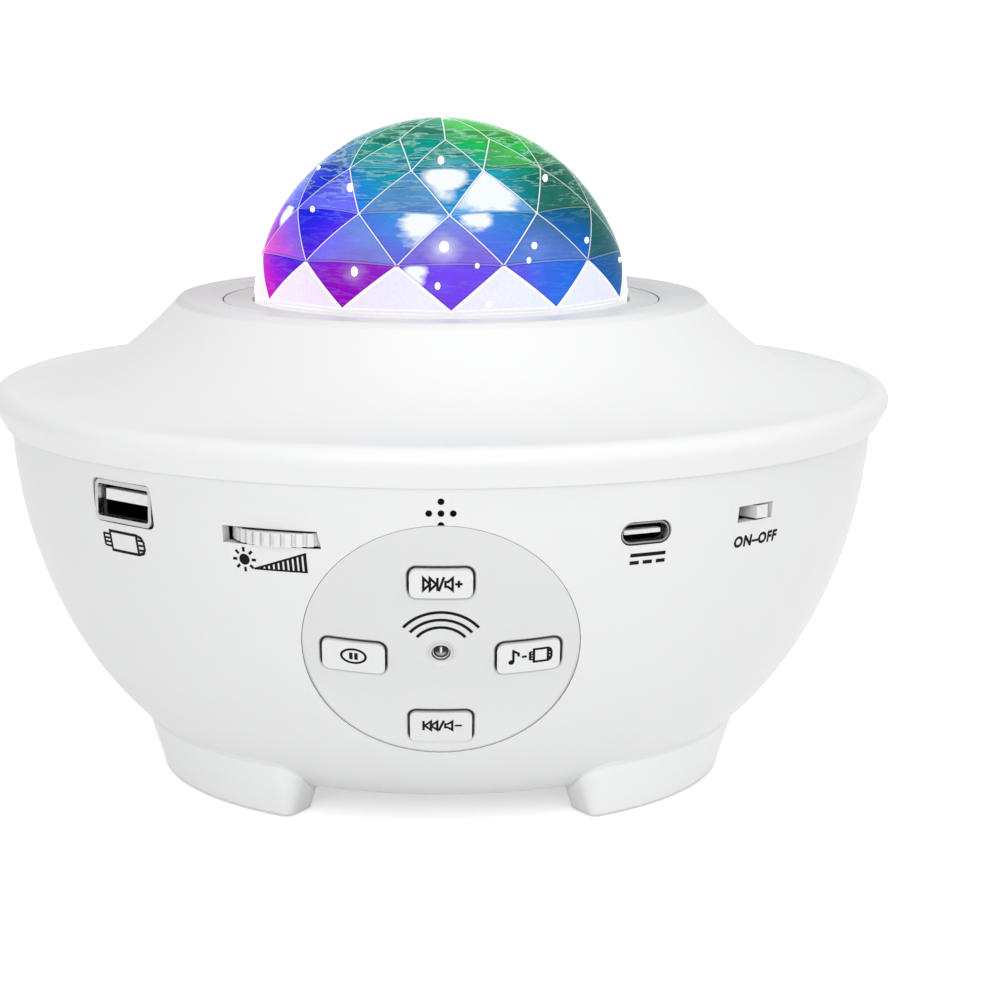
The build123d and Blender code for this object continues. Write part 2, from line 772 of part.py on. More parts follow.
with BuildPart() as cover_inner:
    with BuildSketch(FRONT_HALF):
        with BuildLine():
            Spline(*cover_inside[1:-1])
            Polyline(
                cover_inside[-2],
                (cover_inside_radius, cover_inside[-2][1]),
                (cover_inside_radius, seam_height - wall),
                (0, seam_height - wall),
                (0, ledge_bottom),
                (ledge_wall_radius, ledge_bottom),
                (ledge_wall_radius, neck_top - neck_plate),
                (cover_inside[1][0], neck_top - neck_plate),
                cover_inside[1],
            )
        make_face()
    revolve(axis=Axis.Z)

with BuildPart() as boss_limit:
    with BuildSketch(FRONT_HALF):
        with BuildLine():
            half_wall = beside(brim_curve, cover_wall / 2)
            Spline(*half_wall)
            Polyline(
                half_wall[-1],
                (half_wall[-1][0], 0),
                (0, 0),
                (0, half_wall[0][1]),
                half_wall[0],
            )
        make_face()
    revolve(axis=Axis.Z)

with BuildPart() as cover_posts:
    with BuildSketch(Plane.XY.offset(chassis_top)):
        with Locations(*[spot(chassis_post_reach, a, 0)[:2] for a in chassis_post_azimuths]):
            Circle(chassis_post_radius)
    extrude(amount=ledge_bottom - chassis_top)
    with BuildSketch(Plane.XY.offset(cover_tube_top)):
        with Locations(*[spot(cover_screw_reach, a, 0)[:2] for a in foot_azimuths]):
            Circle(cover_boss_radius)
    extrude(amount=neck_top - neck_plate - cover_tube_top)
    add(boss_limit.part, mode=Mode.INTERSECT)

with BuildPart() as top_cover:
    add(cover_body)
    neck_edges = top_cover.edges().filter_by(GeomType.CIRCLE).group_by(Axis.Z)[-1]
    fillet(neck_edges, neck_edge_rounding)
    add(cover_inner.part, mode=Mode.SUBTRACT)
    add(cover_posts.part)
    # recess for the dome's flange and its ring, with a slope at its mouth
    with BuildSketch(Plane.XY.offset(ledge_top)):
        Circle(recess_radius)
    extrude(amount=neck_top - ledge_top, mode=Mode.SUBTRACT)
    with Locations((0, 0, ring_top)):
        Cone(
            recess_radius,
            recess_radius + recess_bevel,
            neck_top - ring_top,
            align=UP,
            mode=Mode.SUBTRACT,
        )
    with BuildSketch(Plane.XY.offset(ledge_bottom)):
        Circle(ledge_inner_radius)
    extrude(amount=ledge_thickness, mode=Mode.SUBTRACT)
    # pilots for the chassis screws and the long screws, holes for the ring's screws
    with Locations(*spots(chassis_post_reach, chassis_post_azimuths, chassis_top)):
        Cylinder(small_shank + screw_fit, small_length, align=UP, mode=Mode.SUBTRACT)
    with Locations(*spots(cover_screw_reach, foot_azimuths, cover_tube_top)):
        Cylinder(
            cover_screw_shank + screw_fit,
            cover_screw_length - cover_tube_seat + screw_fit,
            align=UP,
            mode=Mode.SUBTRACT,
        )
    ring_screw_reach = (ledge_inner_radius + recess_radius) / 2
    with Locations(*spots(ring_screw_reach, foot_azimuths, ledge_bottom)):
        Cylinder(small_shank + screw_fit, ledge_thickness, align=UP, mode=Mode.SUBTRACT)
top_cover.part.label = "top_cover"
export_step(top_cover.part, "parts/top_cover.step")

upside_down = [
    Location(spot(cover_screw_reach, a, cover_seat_height), (180, 0, 0)) for a in foot_azimuths
]
cover_screws = make_screws(
    upside_down, cover_screw_head, small_head_height, cover_screw_shank, cover_screw_length
)
cover_screws.part.label = "cover_screws"
export_step(cover_screws.part, "parts/cover_screws.step")

# ------------------------------------------------------------------ dome lens and its ring
def dome_corners():
    """Corner points of the faceted dome: rings of corners, each turned by half a side."""
    rings = []
    for row, (inset, drop) in enumerate(dome_ring_places):
        turn = dome_turn + (row % 2) * 180 / dome_sides
        corners = [
            spot(dome_radius - inset, turn + 360 / dome_sides * k, dome_top - drop)
            for k in range(dome_sides)
        ]
        rings.append(corners)
    return rings


def dome_facets():
    """Triangles between the rings, the cap round the top, and the prism under the base."""
    rings = dome_corners()
    top = (0, 0, dome_top)
    foot = [(x, y, ledge_top) for x, y, _ in rings[0]]
    facets = []
    for k in range(dome_sides):
        after = (k + 1) % dome_sides
        facets.append((foot[k], foot[after], rings[0][after], rings[0][k]))
        for row in range(len(rings) - 1):
            lower, upper = rings[row], rings[row + 1]
            # an odd ring stands half a side further round than an even one
            if row % 2 == 0:
                facets.append((lower[k], lower[after], upper[k]))
                facets.append((upper[k], lower[after], upper[after]))
            else:
                facets.append((lower[k], lower[after], upper[after]))
                facets.append((upper[k], lower[k], upper[after]))
        facets.append((rings[-1][k], rings[-1][after], top))
    facets.append(tuple(reversed(foot)))
    return [Face(Wire.make_polygon(facet)) for facet in facets]


dome_gem = Solid(Shell(dome_facets()))
dome_inner_radius = dome_radius - dome_wall
dome_centre = dome_top - dome_wall - dome_inner_radius

with BuildPart() as dome_lens:
    add(dome_gem)
    with BuildSketch(Plane.XY.offset(ledge_top)):
        Circle(dome_radius - dome_skirt_gap)
    extrude(amount=ring_top + dome_skirt_rise - ledge_top)
    with BuildSketch(Plane.XY.offset(ledge_top)):
        Circle(dome_flange_radius)
    extrude(amount=dome_flange_thickness)
    with Locations((0, 0, dome_centre)):
        Sphere(dome_inner_radius, mode=Mode.SUBTRACT)
        Cylinder(dome_inner_radius, dome_centre - ledge_top, align=DOWN, mode=Mode.SUBTRACT)
    with Locations(*spots(ring_screw_reach, foot_azimuths, ledge_top)):
        Cylinder(small_shank + screw_fit, dome_flange_thickness, align=UP, mode=Mode.SUBTRACT)
dome_lens.part.label = "dome_lens"
export_step(dome_lens.part, "parts/dome_lens.step")

with BuildPart() as dome_ring:
    with BuildSketch(Plane.XY.offset(ring_bottom)):
        Circle(ring_outer_radius)
        Circle(dome_radius + ring_inner_gap, mode=Mode.SUBTRACT)
    extrude(amount=ring_thickness)
    ring_edges = dome_ring.edges().filter_by(GeomType.CIRCLE).group_by(Axis.Z)[-1]
    fillet(ring_edges, ring_rounding)
    with Locations(*spots(ring_screw_reach, foot_azimuths, ring_bottom)):
        Cylinder(small_shank + screw_fit, ring_screw_bite, align=UP, mode=Mode.SUBTRACT)
dome_ring.part.label = "dome_ring"
export_step(dome_ring.part, "parts/dome_ring.step")

dome_ring_screws = make_screws(
    [Location(spot(ring_screw_reach, a, ledge_bottom), (180, 0, 0)) for a in foot_azimuths],
    small_head,
    small_head_height,
    small_shank,
    ledge_thickness + dome_flange_thickness + ring_screw_bite - screw_fit,
)
dome_ring_screws.part.label = "dome_ring_screws"
export_step(dome_ring_screws.part, "parts/dome_ring_screws.step")

# ------------------------------------------------------------------ control panel, keys and window
panel_back = bowl_solid(panel_thickness)

with BuildPart() as control_panel:
    with BuildSketch(panel_plane):
        Circle(panel_radius - panel_gap)
    extrude(amount=wall_cut, both=True)
    add(bowl_body, mode=Mode.INTERSECT)
    add(panel_back, mode=Mode.SUBTRACT)
    with BuildSketch(panel_plane):
        for across, up, tall in KEYS.values():
            with Locations((across, up)):
                RectangleRounded(key_hole_width, tall, key_corner)
        Circle(window_radius + window_gap)
    extrude(amount=wall_cut, both=True, mode=Mode.SUBTRACT)
    with Locations(Location(panel_plane.offset(-window_dish_depth))):
        Cone(window_radius, window_dish_radius + wall, wall, align=UP, mode=Mode.SUBTRACT)
control_panel.part.label = "control_panel"
export_step(control_panel.part, "parts/control_panel.step")

key_skin = bowl_solid(-key_proud)


def make_key(across, up, tall):
    """One key: a rounded cap that follows the bowl, a flange behind the wall and a stem."""
    cap_width = key_hole_width - 2 * key_gap
    cap_tall = tall - 2 * key_gap
    with BuildPart() as key:
        with BuildSketch(panel_plane.offset(-key_flange_depth - key_flange_thickness)):
            with Locations((across, up)):
                RectangleRounded(cap_width, cap_tall, key_corner - key_gap)
        extrude(amount=key_flange_depth + wall_cut)
        add(key_skin, mode=Mode.INTERSECT)
        with BuildSketch(panel_plane.offset(-key_flange_depth - key_flange_thickness)):
            with Locations((across, up)):
                RectangleRounded(
                    cap_width + 2 * key_flange_margin, cap_tall + 2 * key_flange_margin, key_corner
                )
        extrude(amount=key_flange_thickness)
        with BuildSketch(panel_plane.offset(-key_stem_end)):
            with Locations((across, up)):
                Circle(key_stem_radius)
        extrude(amount=key_stem_length)
    return key


for key_name, (across, up, tall) in KEYS.items():
    key = make_key(across, up, tall)
    key.part.label = key_name
    export_step(key.part, f"parts/{key_name}.step")

flange_edge = [
    (window_flange_radius, 0),
    (-window_flange_radius, 0),
    (0, window_flange_radius),
    (0, -window_flange_radius),
]
window_seat_depth = max(depth_behind_panel(*place) for place in flange_edge) + window_seat_gap
window_back_depth = window_seat_depth + window_flange_thickness
receiver_front = window_back_depth + receiver_gap
with BuildPart() as ir_window:
    with BuildSketch(panel_plane.offset(-window_seat_depth)):
        Circle(window_radius)
    extrude(amount=window_seat_depth - window_dish_depth)
    window_edge = ir_window.edges().filter_by(GeomType.CIRCLE).sort_by(panel_axis)[-1]
    fillet(window_edge, window_rounding)
    with BuildSketch(panel_plane.offset(-window_back_depth)):
        Circle(window_flange_radius)
    extrude(amount=window_flange_thickness)
ir_window.part.label = "ir_window"
export_step(ir_window.part, "parts/ir_window.step")

with BuildPart() as ir_receiver:
    with BuildSketch(panel_plane.offset(-button_board_front)):
        Rectangle(receiver_width, receiver_tall)
    extrude(amount=button_board_front - receiver_front - receiver_lens_radius)
    with Locations(Location(panel_plane.offset(-receiver_front - receiver_lens_radius))):
        Sphere(receiver_lens_radius)
ir_receiver.part.label = "ir_receiver"
export_step(ir_receiver.part, "parts/ir_receiver.step")

with BuildPart() as button_board:
    with BuildSketch(panel_plane.offset(-button_board_back)) as board_face:
        with Locations((0, -button_board_bottom)):
            Rectangle(
                button_board_width,
                button_board_bottom + button_board_top,
                align=(Align.CENTER, Align.MIN),
            )
            Rectangle(
                button_board_tab_width,
                button_board_bottom + button_board_tab_top,
                align=(Align.CENTER, Align.MIN),
            )
        fillet(board_face.vertices(), key_corner)
        with Locations(*button_posts):
            Circle(small_shank + screw_fit, mode=Mode.SUBTRACT)
    extrude(amount=button_board_thickness)
button_board.part.label = "button_board"
export_step(button_board.part, "parts/button_board.step")

with BuildPart() as tact_switches:
    for across, up, tall in KEYS.values():
        with BuildSketch(panel_plane.offset(-button_board_front)):
            with Locations((across, up)):
                Rectangle(tact_size, tact_size)
        extrude(amount=tact_body_height)
        with BuildSketch(panel_plane.offset(-button_board_front + tact_body_height)):
            with Locations((across, up)):
                Circle(tact_plunger_radius)
        extrude(amount=tact_plunger_height)
tact_switches.part.label = "tact_switches"
export_step(tact_switches.part, "parts/tact_switches.step")

button_board_screws = make_screws(
    [
        Location(panel_plane.offset(-button_board_back)) * Location((x, y, 0), (180, 0, 0))
        for x, y in button_posts
    ],
    small_head,
    small_head_height,
    small_shank,
    small_length,
)
button_board_screws.part.label = "button_board_screws"
export_step(button_board_screws.part, "parts/button_board_screws.step")

# ------------------------------------------------------------------ main board
with BuildPart() as main_board:
    with BuildSketch(Plane.XY.offset(board_bottom)):
        add(sector(board_inner_radius, board_outer_radius, 0, 2 * board_half_angle))
        with Locations((0, -board_notch_radius)):
            Rectangle(
                board_notch_width,
                board_outer_radius,
                align=(Align.CENTER, Align.MAX),
                mode=Mode.SUBTRACT,
            )
        with Locations(*[spot(board_post_reach, a, 0)[:2] for a in board_post_azimuths]):
            Circle(small_shank + screw_fit, mode=Mode.SUBTRACT)
    extrude(amount=board_thickness)
main_board.part.label = "main_board"
export_step(main_board.part, "parts/main_board.step")

main_board_screws = make_screws(
    spots(board_post_reach, board_post_azimuths, board_top),
    small_head,
    small_head_height,
    small_shank,
    small_length,
)
main_board_screws.part.label = "main_board_screws"
export_step(main_board_screws.part, "parts/main_board_screws.step")

with BuildPart() as board_chips:
    for azimuth, (long, wide, tall) in zip(board_chip_azimuths, board_chip_sizes):
        with Locations(Location(spot(board_chip_reach, azimuth, board_top), (0, 0, azimuth))):
            Box(long, wide, tall, align=UP)
board_chips.part.label = "board_chips"
export_step(board_chips.part, "parts/board_chips.step")

# ------------------------------------------------------------------ USB-A socket
leg_drop_a = usb_a_height - usb_a_tall / 2 - board_top
with BuildPart() as usb_a_shell:
    with BuildSketch(usb_a_plane.offset(-usb_a_depth)):
        RectangleRounded(usb_a_width, usb_a_tall, usb_a_corner)
    extrude(amount=usb_a_depth)
    with BuildSketch(usb_a_plane.offset(-usb_a_lip_depth)):
        RectangleRounded(
            usb_a_width + 2 * usb_a_lip, usb_a_tall + 2 * usb_a_lip, usb_a_corner + usb_a_lip
        )
    extrude(amount=usb_a_lip_depth)
    for depth in (usb_a_front_leg, usb_a_depth - leg_width):
        with BuildSketch(usb_a_plane.offset(-depth - leg_width)):
            for side in (-1, 1):
                with Locations((side * (usb_a_width - usb_a_sheet) / 2, 0)):
                    Rectangle(
                        usb_a_sheet,
                        usb_a_tall / 2 + leg_drop_a,
                        align=(Align.CENTER, Align.MAX),
                    )
        extrude(amount=leg_width)
    with BuildSketch(usb_a_plane.offset(-usb_a_depth)):
        RectangleRounded(
            usb_a_width - 2 * usb_a_sheet, usb_a_tall - 2 * usb_a_sheet, usb_a_corner - usb_a_sheet
        )
    extrude(amount=usb_a_depth, mode=Mode.SUBTRACT)
usb_a_shell.part.label = "usb_a_shell"
export_step(usb_a_shell.part, "parts/usb_a_shell.step")

with BuildPart() as usb_a_tongue:
    inside_wide = usb_a_width - 2 * usb_a_sheet - 2 * running_fit
    inside_tall = usb_a_tall - 2 * usb_a_sheet - 2 * running_fit
    with BuildSketch(usb_a_plane.offset(-usb_a_depth)):
        RectangleRounded(inside_wide, inside_tall, usb_a_corner - usb_a_sheet)
    extrude(amount=usb_a_core_depth)
    with BuildSketch(usb_a_plane.offset(-usb_a_depth)):
        with Locations((0, inside_tall / 2 - usb_a_tongue_drop)):
            Rectangle(
                usb_a_tongue_width, usb_a_tongue_thickness, align=(Align.CENTER, Align.MAX)
            )
    extrude(amount=usb_a_depth - usb_a_tongue_sink)
usb_a_tongue.part.label = "usb_a_tongue"
export_step(usb_a_tongue.part, "parts/usb_a_tongue.step")

# ------------------------------------------------------------------ USB-C inlet
leg_drop_c = usb_c_height - usb_c_tall / 2 - board_top
with BuildPart() as usb_c_shell:
    with BuildSketch(usb_c_plane.offset(-usb_c_depth)):
        SlotOverall(usb_c_width, usb_c_tall)
    extrude(amount=usb_c_depth)
    with BuildSketch(usb_c_plane.offset(-usb_c_depth)):
        for side in (-1, 1):
            with Locations((side * (usb_c_width - usb_c_tall) / 2, 0)):
                Rectangle(
                    leg_width, usb_c_tall / 2 + leg_drop_c, align=(Align.CENTER, Align.MAX)
                )
    extrude(amount=usb_c_leg_sheet)
    with BuildSketch(usb_c_plane.offset(-usb_c_depth)):
        SlotOverall(usb_c_width - 2 * usb_c_sheet, usb_c_tall - 2 * usb_c_sheet)
    extrude(amount=usb_c_depth, mode=Mode.SUBTRACT)
usb_c_shell.part.label = "usb_c_shell"
export_step(usb_c_shell.part, "parts/usb_c_shell.step")

with BuildPart() as usb_c_tongue:
    slot_wide = usb_c_width - 2 * (usb_c_sheet + running_fit)
    slot_tall = usb_c_tall - 2 * (usb_c_sheet + running_fit)
    with BuildSketch(usb_c_plane.offset(-usb_c_depth)):
        SlotOverall(slot_wide, slot_tall)
    extrude(amount=usb_c_core_depth)
    with BuildSketch(usb_c_plane.offset(-usb_c_depth)):
        Rectangle(usb_c_tongue_width, usb_c_tongue_thickness)
    extrude(amount=usb_c_depth - usb_c_tongue_sink)
usb_c_tongue.part.label = "usb_c_tongue"
export_step(usb_c_tongue.part, "parts/usb_c_tongue.step")

# ------------------------------------------------------------------ dimmer
dimmer_place = spot(dimmer_reach, dimmer_azimuth, 0)
with BuildPart() as dimmer_base:
    with Locations((dimmer_place[0], dimmer_place[1], board_top)):
        Cylinder(dimmer_base_radius, dimmer_bottom - dimmer_base_gap - board_top, align=UP)
        Cylinder(
            dimmer_hub_radius, dimmer_bottom + dimmer_thickness + running_fit - board_top, align=UP
        )
dimmer_base.part.label = "dimmer_base"
export_step(dimmer_base.part, "parts/dimmer_base.step")

with BuildPart() as dimmer_wheel:
    wheel_plane = Plane(
        origin=(dimmer_place[0], dimmer_place[1], dimmer_bottom), z_dir=(0, 0, 1)
    )
    with BuildSketch(wheel_plane):
        Circle(dimmer_radius)
        with PolarLocations(dimmer_radius, dimmer_grooves):
            Rectangle(2 * dimmer_groove_depth, dimmer_groove_width, mode=Mode.SUBTRACT)
        Circle(dimmer_hub_radius + running_fit, mode=Mode.SUBTRACT)
    extrude(amount=dimmer_thickness)
dimmer_wheel.part.label = "dimmer_wheel"
export_step(dimmer_wheel.part, "parts/dimmer_wheel.step")

# ------------------------------------------------------------------ slide switch
switch_face = switch_plane.offset(-switch_body_gap)
knob_offset = switch_travel / 2
with BuildPart() as switch_body:
    body_tall = switch_height + switch_knob_tall / 2 + switch_body_cap - board_top
    with BuildSketch(switch_face):
        with Locations((0, board_top - switch_height)):
            Rectangle(switch_body_width, body_tall, align=(Align.CENTER, Align.MIN))
    extrude(amount=-switch_body_depth)
    with BuildSketch(switch_face):
        Rectangle(
            switch_knob_width + switch_travel + 2 * switch_fit, switch_knob_tall + 2 * switch_fit
        )
    extrude(amount=-switch_channel_depth, mode=Mode.SUBTRACT)
switch_body.part.label = "switch_body"
export_step(switch_body.part, "parts/switch_body.step")

with BuildPart() as switch_knob:
    knob_root = switch_face.offset(-switch_channel_depth + switch_fit)
    with BuildSketch(knob_root):
        with Locations((knob_offset, 0)):
            Rectangle(switch_knob_width, switch_knob_tall)
    extrude(amount=switch_channel_depth - switch_fit + switch_body_gap + wall + switch_knob_proud)
    knob_face = switch_knob.faces().sort_by(Axis(switch_plane.origin, switch_plane.z_dir))[-1]
    fillet(knob_face.edges(), switch_knob_rounding)
switch_knob.part.label = "switch_knob"
export_step(switch_knob.part, "parts/switch_knob.step")

# ------------------------------------------------------------------ microphone
with BuildPart() as microphone:
    with BuildSketch(mic_plane.offset(-screw_fit)):
        Circle(mic_radius)
    extrude(amount=-mic_depth)
microphone.part.label = "microphone"
export_step(microphone.part, "parts/microphone.step")

# ------------------------------------------------------------------ speaker
speaker_top = floor_inside + speaker_depth
flange_top = floor_inside + speaker_flange
with BuildPart() as speaker_basket:
    with BuildSketch(FRONT_HALF):
        with BuildLine():
            Polyline(
                (speaker_cone_radius + speaker_cone_gap, floor_inside),
                (speaker_radius, floor_inside),
                (speaker_radius, flange_top),
                (speaker_cone_radius + 2 * speaker_sheet, flange_top),
                (speaker_neck_radius + speaker_sheet, speaker_top),
                (0, speaker_top),
                (0, speaker_top - speaker_sheet),
                (speaker_neck_radius, speaker_top - speaker_sheet),
                (speaker_cone_radius + speaker_throat_gap, flange_top),
                close=True,
            )
        make_face()
    revolve(axis=Axis.Z)
speaker_basket.part.label = "speaker_basket"
export_step(speaker_basket.part, "parts/speaker_basket.step")

with BuildPart() as speaker_magnet:
    with BuildSketch(Plane.XY.offset(speaker_top)):
        Circle(magnet_radius)
    extrude(amount=magnet_height)
    magnet_edges = speaker_magnet.edges().filter_by(GeomType.CIRCLE)
    chamfer(magnet_edges, magnet_chamfer)
speaker_magnet.part.label = "speaker_magnet"
export_step(speaker_magnet.part, "parts/speaker_magnet.step")

cone_edge = floor_inside + speaker_lift
cone_top = cone_edge + speaker_cone_rise
with BuildPart() as speaker_cone:
    with BuildSketch(FRONT_HALF):
        with BuildLine():
            Polyline(
                (speaker_cone_radius, cone_edge),
                (speaker_cone_radius, cone_edge + speaker_cone_sheet),
                (speaker_cone_radius - speaker_rim_width, cone_edge + speaker_cone_sheet),
                (speaker_cap_radius, cone_top),
                (0, cone_top - speaker_cap_dip),
                (0, cone_top - speaker_cap_dip - speaker_cone_sheet),
                (speaker_cap_radius, cone_top - 2 * speaker_cone_sheet),
                (speaker_cone_radius - speaker_rim_width, cone_edge),
                close=True,
            )
        make_face()
    revolve(axis=Axis.Z)
speaker_cone.part.label = "speaker_cone"
export_step(speaker_cone.part, "parts/speaker_cone.step")

speaker_screws = make_screws(
    spots(speaker_boss_reach, speaker_boss_azimuths, floor_inside + speaker_flange),
    speaker_screw_head,
    small_head_height,
    small_shank,
    speaker_flange + speaker_screw_bite,
)
speaker_screws.part.label = "speaker_screws"
export_step(speaker_screws.part, "parts/speaker_screws.step")

# ------------------------------------------------------------------ places of the drive
pinion_reach = gear_module * (wave_teeth + pinion_teeth) / 2
pinion_place = spot(pinion_reach, motor_azimuth, 0)
grating_pitch = gear_module * (pinion_teeth + grating_teeth) / 2
# the grating axle lies at its own reach from the middle and one pitch from the pinion
grating_turn = degrees(
    acos((pinion_reach**2 + grating_reach**2 - grating_pitch**2) / (2 * pinion_reach * grating_reach))
)
grating_azimuth = motor_azimuth + grating_turn
grating_place = spot(grating_reach, grating_azimuth, 0)
laser_place = spot(laser_reach, grating_azimuth, 0)
pinion_bottom = chassis_top + pinion_lift
pinion_top = ledge_bottom - pinion_gap
grating_bottom = chassis_top + grating_lift
grating_top = grating_bottom + grating_thickness
laser_top = grating_bottom - laser_gap
led_screw_azimuths = (45, 225)


def plan_angle(start, end):
    """Direction in the XY plane from one place to another, in degrees from +X."""
    heading = Vector(end[0] - start[0], end[1] - start[1], 0)
    return degrees(acos(heading.X / heading.length)) * (1 if heading.Y >= 0 else -1)


# ------------------------------------------------------------------ chassis
with BuildPart() as chassis:
    with BuildSketch(Plane.XY.offset(chassis_bottom)):
        Circle(chassis_radius)
        Circle(axle_radius, mode=Mode.SUBTRACT)
        with Locations(pinion_place[:2]):
            Circle(motor_boss_radius + hole_fit, mode=Mode.SUBTRACT)
        with Locations(grating_place[:2]):
            Circle(axle_radius, mode=Mode.SUBTRACT)
        with Locations(laser_place[:2]):
            Circle(laser_radius + hole_fit, mode=Mode.SUBTRACT)
        with Locations(*[spot(chassis_post_reach, a, 0)[:2] for a in chassis_post_azimuths]):
            Circle(small_shank + screw_fit, mode=Mode.SUBTRACT)
        with Locations(*[spot(led_screw_reach, a, 0)[:2] for a in led_screw_azimuths]):
            Circle(small_shank + screw_fit, mode=Mode.SUBTRACT)
        motor_ears = [
            spot(pinion_reach - motor_ear_reach, motor_azimuth, 0)[:2],
            spot(pinion_reach + motor_ear_reach, motor_azimuth, 0)[:2],
        ]
        with Locations(*motor_ears):
            Circle(small_shank + screw_fit, mode=Mode.SUBTRACT)
    extrude(amount=chassis_thickness)
chassis.part.label = "chassis"
export_step(chassis.part, "parts/chassis.step")

chassis_screws = make_screws(
    [
        Location(spot(chassis_post_reach, a, chassis_bottom), (180, 0, 0))
        for a in chassis_post_azimuths
    ],
    small_head,
    small_head_height,
    small_shank,
    small_length,
)
chassis_screws.part.label = "chassis_screws"
export_step(chassis_screws.part, "parts/chassis_screws.step")

# ------------------------------------------------------------------ lamp: heat sink, board, emitters
with BuildPart() as heat_sink:
    with BuildSketch(Plane.XY.offset(chassis_top)):
        Circle(sink_radius)
        with PolarLocations(sink_radius - sink_fin_depth / 2, sink_fins):
            Rectangle(sink_fin_depth + cut_margin, sink_slot_width, mode=Mode.SUBTRACT)
        Circle(axle_radius + hole_fit, mode=Mode.SUBTRACT)
        with Locations(*[spot(led_screw_reach, a, 0)[:2] for a in led_screw_azimuths]):
            Circle(small_shank + screw_fit, mode=Mode.SUBTRACT)
    extrude(amount=sink_height)
heat_sink.part.label = "heat_sink"
export_step(heat_sink.part, "parts/heat_sink.step")

with BuildPart() as led_board:
    with BuildSketch(Plane.XY.offset(sink_top)):
        Circle(led_board_radius)
        Circle(axle_shoulder_radius + hole_fit, mode=Mode.SUBTRACT)
        with Locations(*[spot(led_screw_reach, a, 0)[:2] for a in led_screw_azimuths]):
            Circle(small_shank + screw_fit, mode=Mode.SUBTRACT)
    extrude(amount=led_board_thickness)
led_board.part.label = "led_board"
export_step(led_board.part, "parts/led_board.step")

with BuildPart() as led_emitters:
    with Locations((0, 0, led_board_top)):
        with PolarLocations(led_reach, led_count):
            Box(led_size, led_size, led_package, align=UP)
    with Locations((0, 0, led_board_top + led_package)):
        with PolarLocations(led_reach, led_count):
            Sphere(led_dome_radius, arc_size1=0, align=UP)
led_emitters.part.label = "led_emitters"
export_step(led_emitters.part, "parts/led_emitters.step")

led_board_screws = make_screws(
    spots(led_screw_reach, led_screw_azimuths, led_board_top),
    small_head,
    small_head_height,
    small_shank,
    led_board_thickness + sink_height + chassis_thickness,
)
led_board_screws.part.label = "led_board_screws"
export_step(led_board_screws.part, "parts/led_board_screws.step")

# ------------------------------------------------------------------ wave disc and its axle
hub_bottom = wave_bottom + wave_web_lift
hub_top = wave_top + wave_web
shoulder_top = hub_bottom - axle_end_play
with BuildPart() as wave_axle:
    with Locations((0, 0, chassis_bottom)):
        Cylinder(axle_radius, hub_top + axle_end_play - chassis_bottom, align=UP)
    with Locations((0, 0, sink_top)):
        Cylinder(axle_shoulder_radius, shoulder_top - sink_top, align=UP)
    with Locations((0, 0, hub_top + axle_end_play)):
        Cylinder(axle_cap_radius, axle_cap_height, align=UP)
wave_axle.part.label = "wave_axle"
export_step(wave_axle.part, "parts/wave_axle.step")


def gear_points(teeth, turn):
    """Outline of a spur gear with involute flanks; a tooth's middle lies at the turn angle."""
    pitch_radius = gear_module * teeth / 2
    base_radius_here = pitch_radius * cos(radians(pressure_angle))
    root = pitch_radius - gear_dedendum * gear_module
    tip = pitch_radius + gear_addendum * gear_module
    half_at_pitch = pi / (2 * teeth) - gear_backlash / (2 * pitch_radius)

    def involute(radius):
        """Angle that the flank has turned at a radius, none below the base circle."""
        lean = acos(min(1.0, base_radius_here / radius))
        return tan(lean) - lean

    points = []
    for tooth in range(teeth):
        middle = radians(turn) + 2 * pi * tooth / teeth
        flank = []
        for radius in (root, pitch_radius, tip):
            half = half_at_pitch + involute(pitch_radius) - involute(radius)
            flank.append((radius, half))
        for radius, half in flank:
            points.append((radius * cos(middle - half), radius * sin(middle - half)))
        for radius, half in reversed(flank):
            points.append((radius * cos(middle + half), radius * sin(middle + half)))
    return points


centre = (0, 0)
to_pinion = plan_angle(centre, pinion_place)
to_grating = plan_angle(pinion_place, grating_place)
# a tooth of the wave disc faces a gap of the pinion on their line of centres
wave_turn = to_pinion
pinion_turn = to_pinion + 180 + 180 / pinion_teeth
grating_turn_angle = (
    to_grating
    + 180
    - (pinion_turn - to_grating) * pinion_teeth / grating_teeth
    + 180 / grating_teeth
)
wave_root_radius = gear_module * (wave_teeth / 2 - gear_dedendum)

with BuildPart() as wave_disc:
    with BuildSketch(Plane.XY.offset(wave_bottom)):
        with BuildLine():
            Polyline(*gear_points(wave_teeth, wave_turn), close=True)
        make_face()
        Circle(wave_root_radius - wave_rim_width, mode=Mode.SUBTRACT)
    extrude(amount=wave_gear_height)
    with BuildSketch(Plane.XY.offset(hub_bottom)):
        Circle(wave_root_radius - wave_rim_width / 2)
    extrude(amount=wave_web)
    with BuildSketch(Plane.XY.offset(hub_bottom)):
        Circle(wave_hub_radius)
    extrude(amount=hub_top - hub_bottom)
    # the ripples: low lens bumps in two rings
    for row_count, (row_radius, bump_radius, bump_height) in zip(wave_lens_counts, wave_lens_sizes):
        ball = (bump_radius**2 + bump_height**2) / (2 * bump_height)
        with Locations((0, 0, hub_bottom + wave_web)):
            with PolarLocations(row_radius, row_count):
                Sphere(ball, arc_size1=degrees(acos(min(1, bump_radius / ball))), align=UP)
    with BuildSketch(Plane.XY.offset(wave_bottom)):
        Circle(axle_radius + running_fit)
    extrude(amount=hub_top - wave_bottom, mode=Mode.SUBTRACT)
wave_disc.part.label = "wave_disc"
export_step(wave_disc.part, "parts/wave_disc.step")

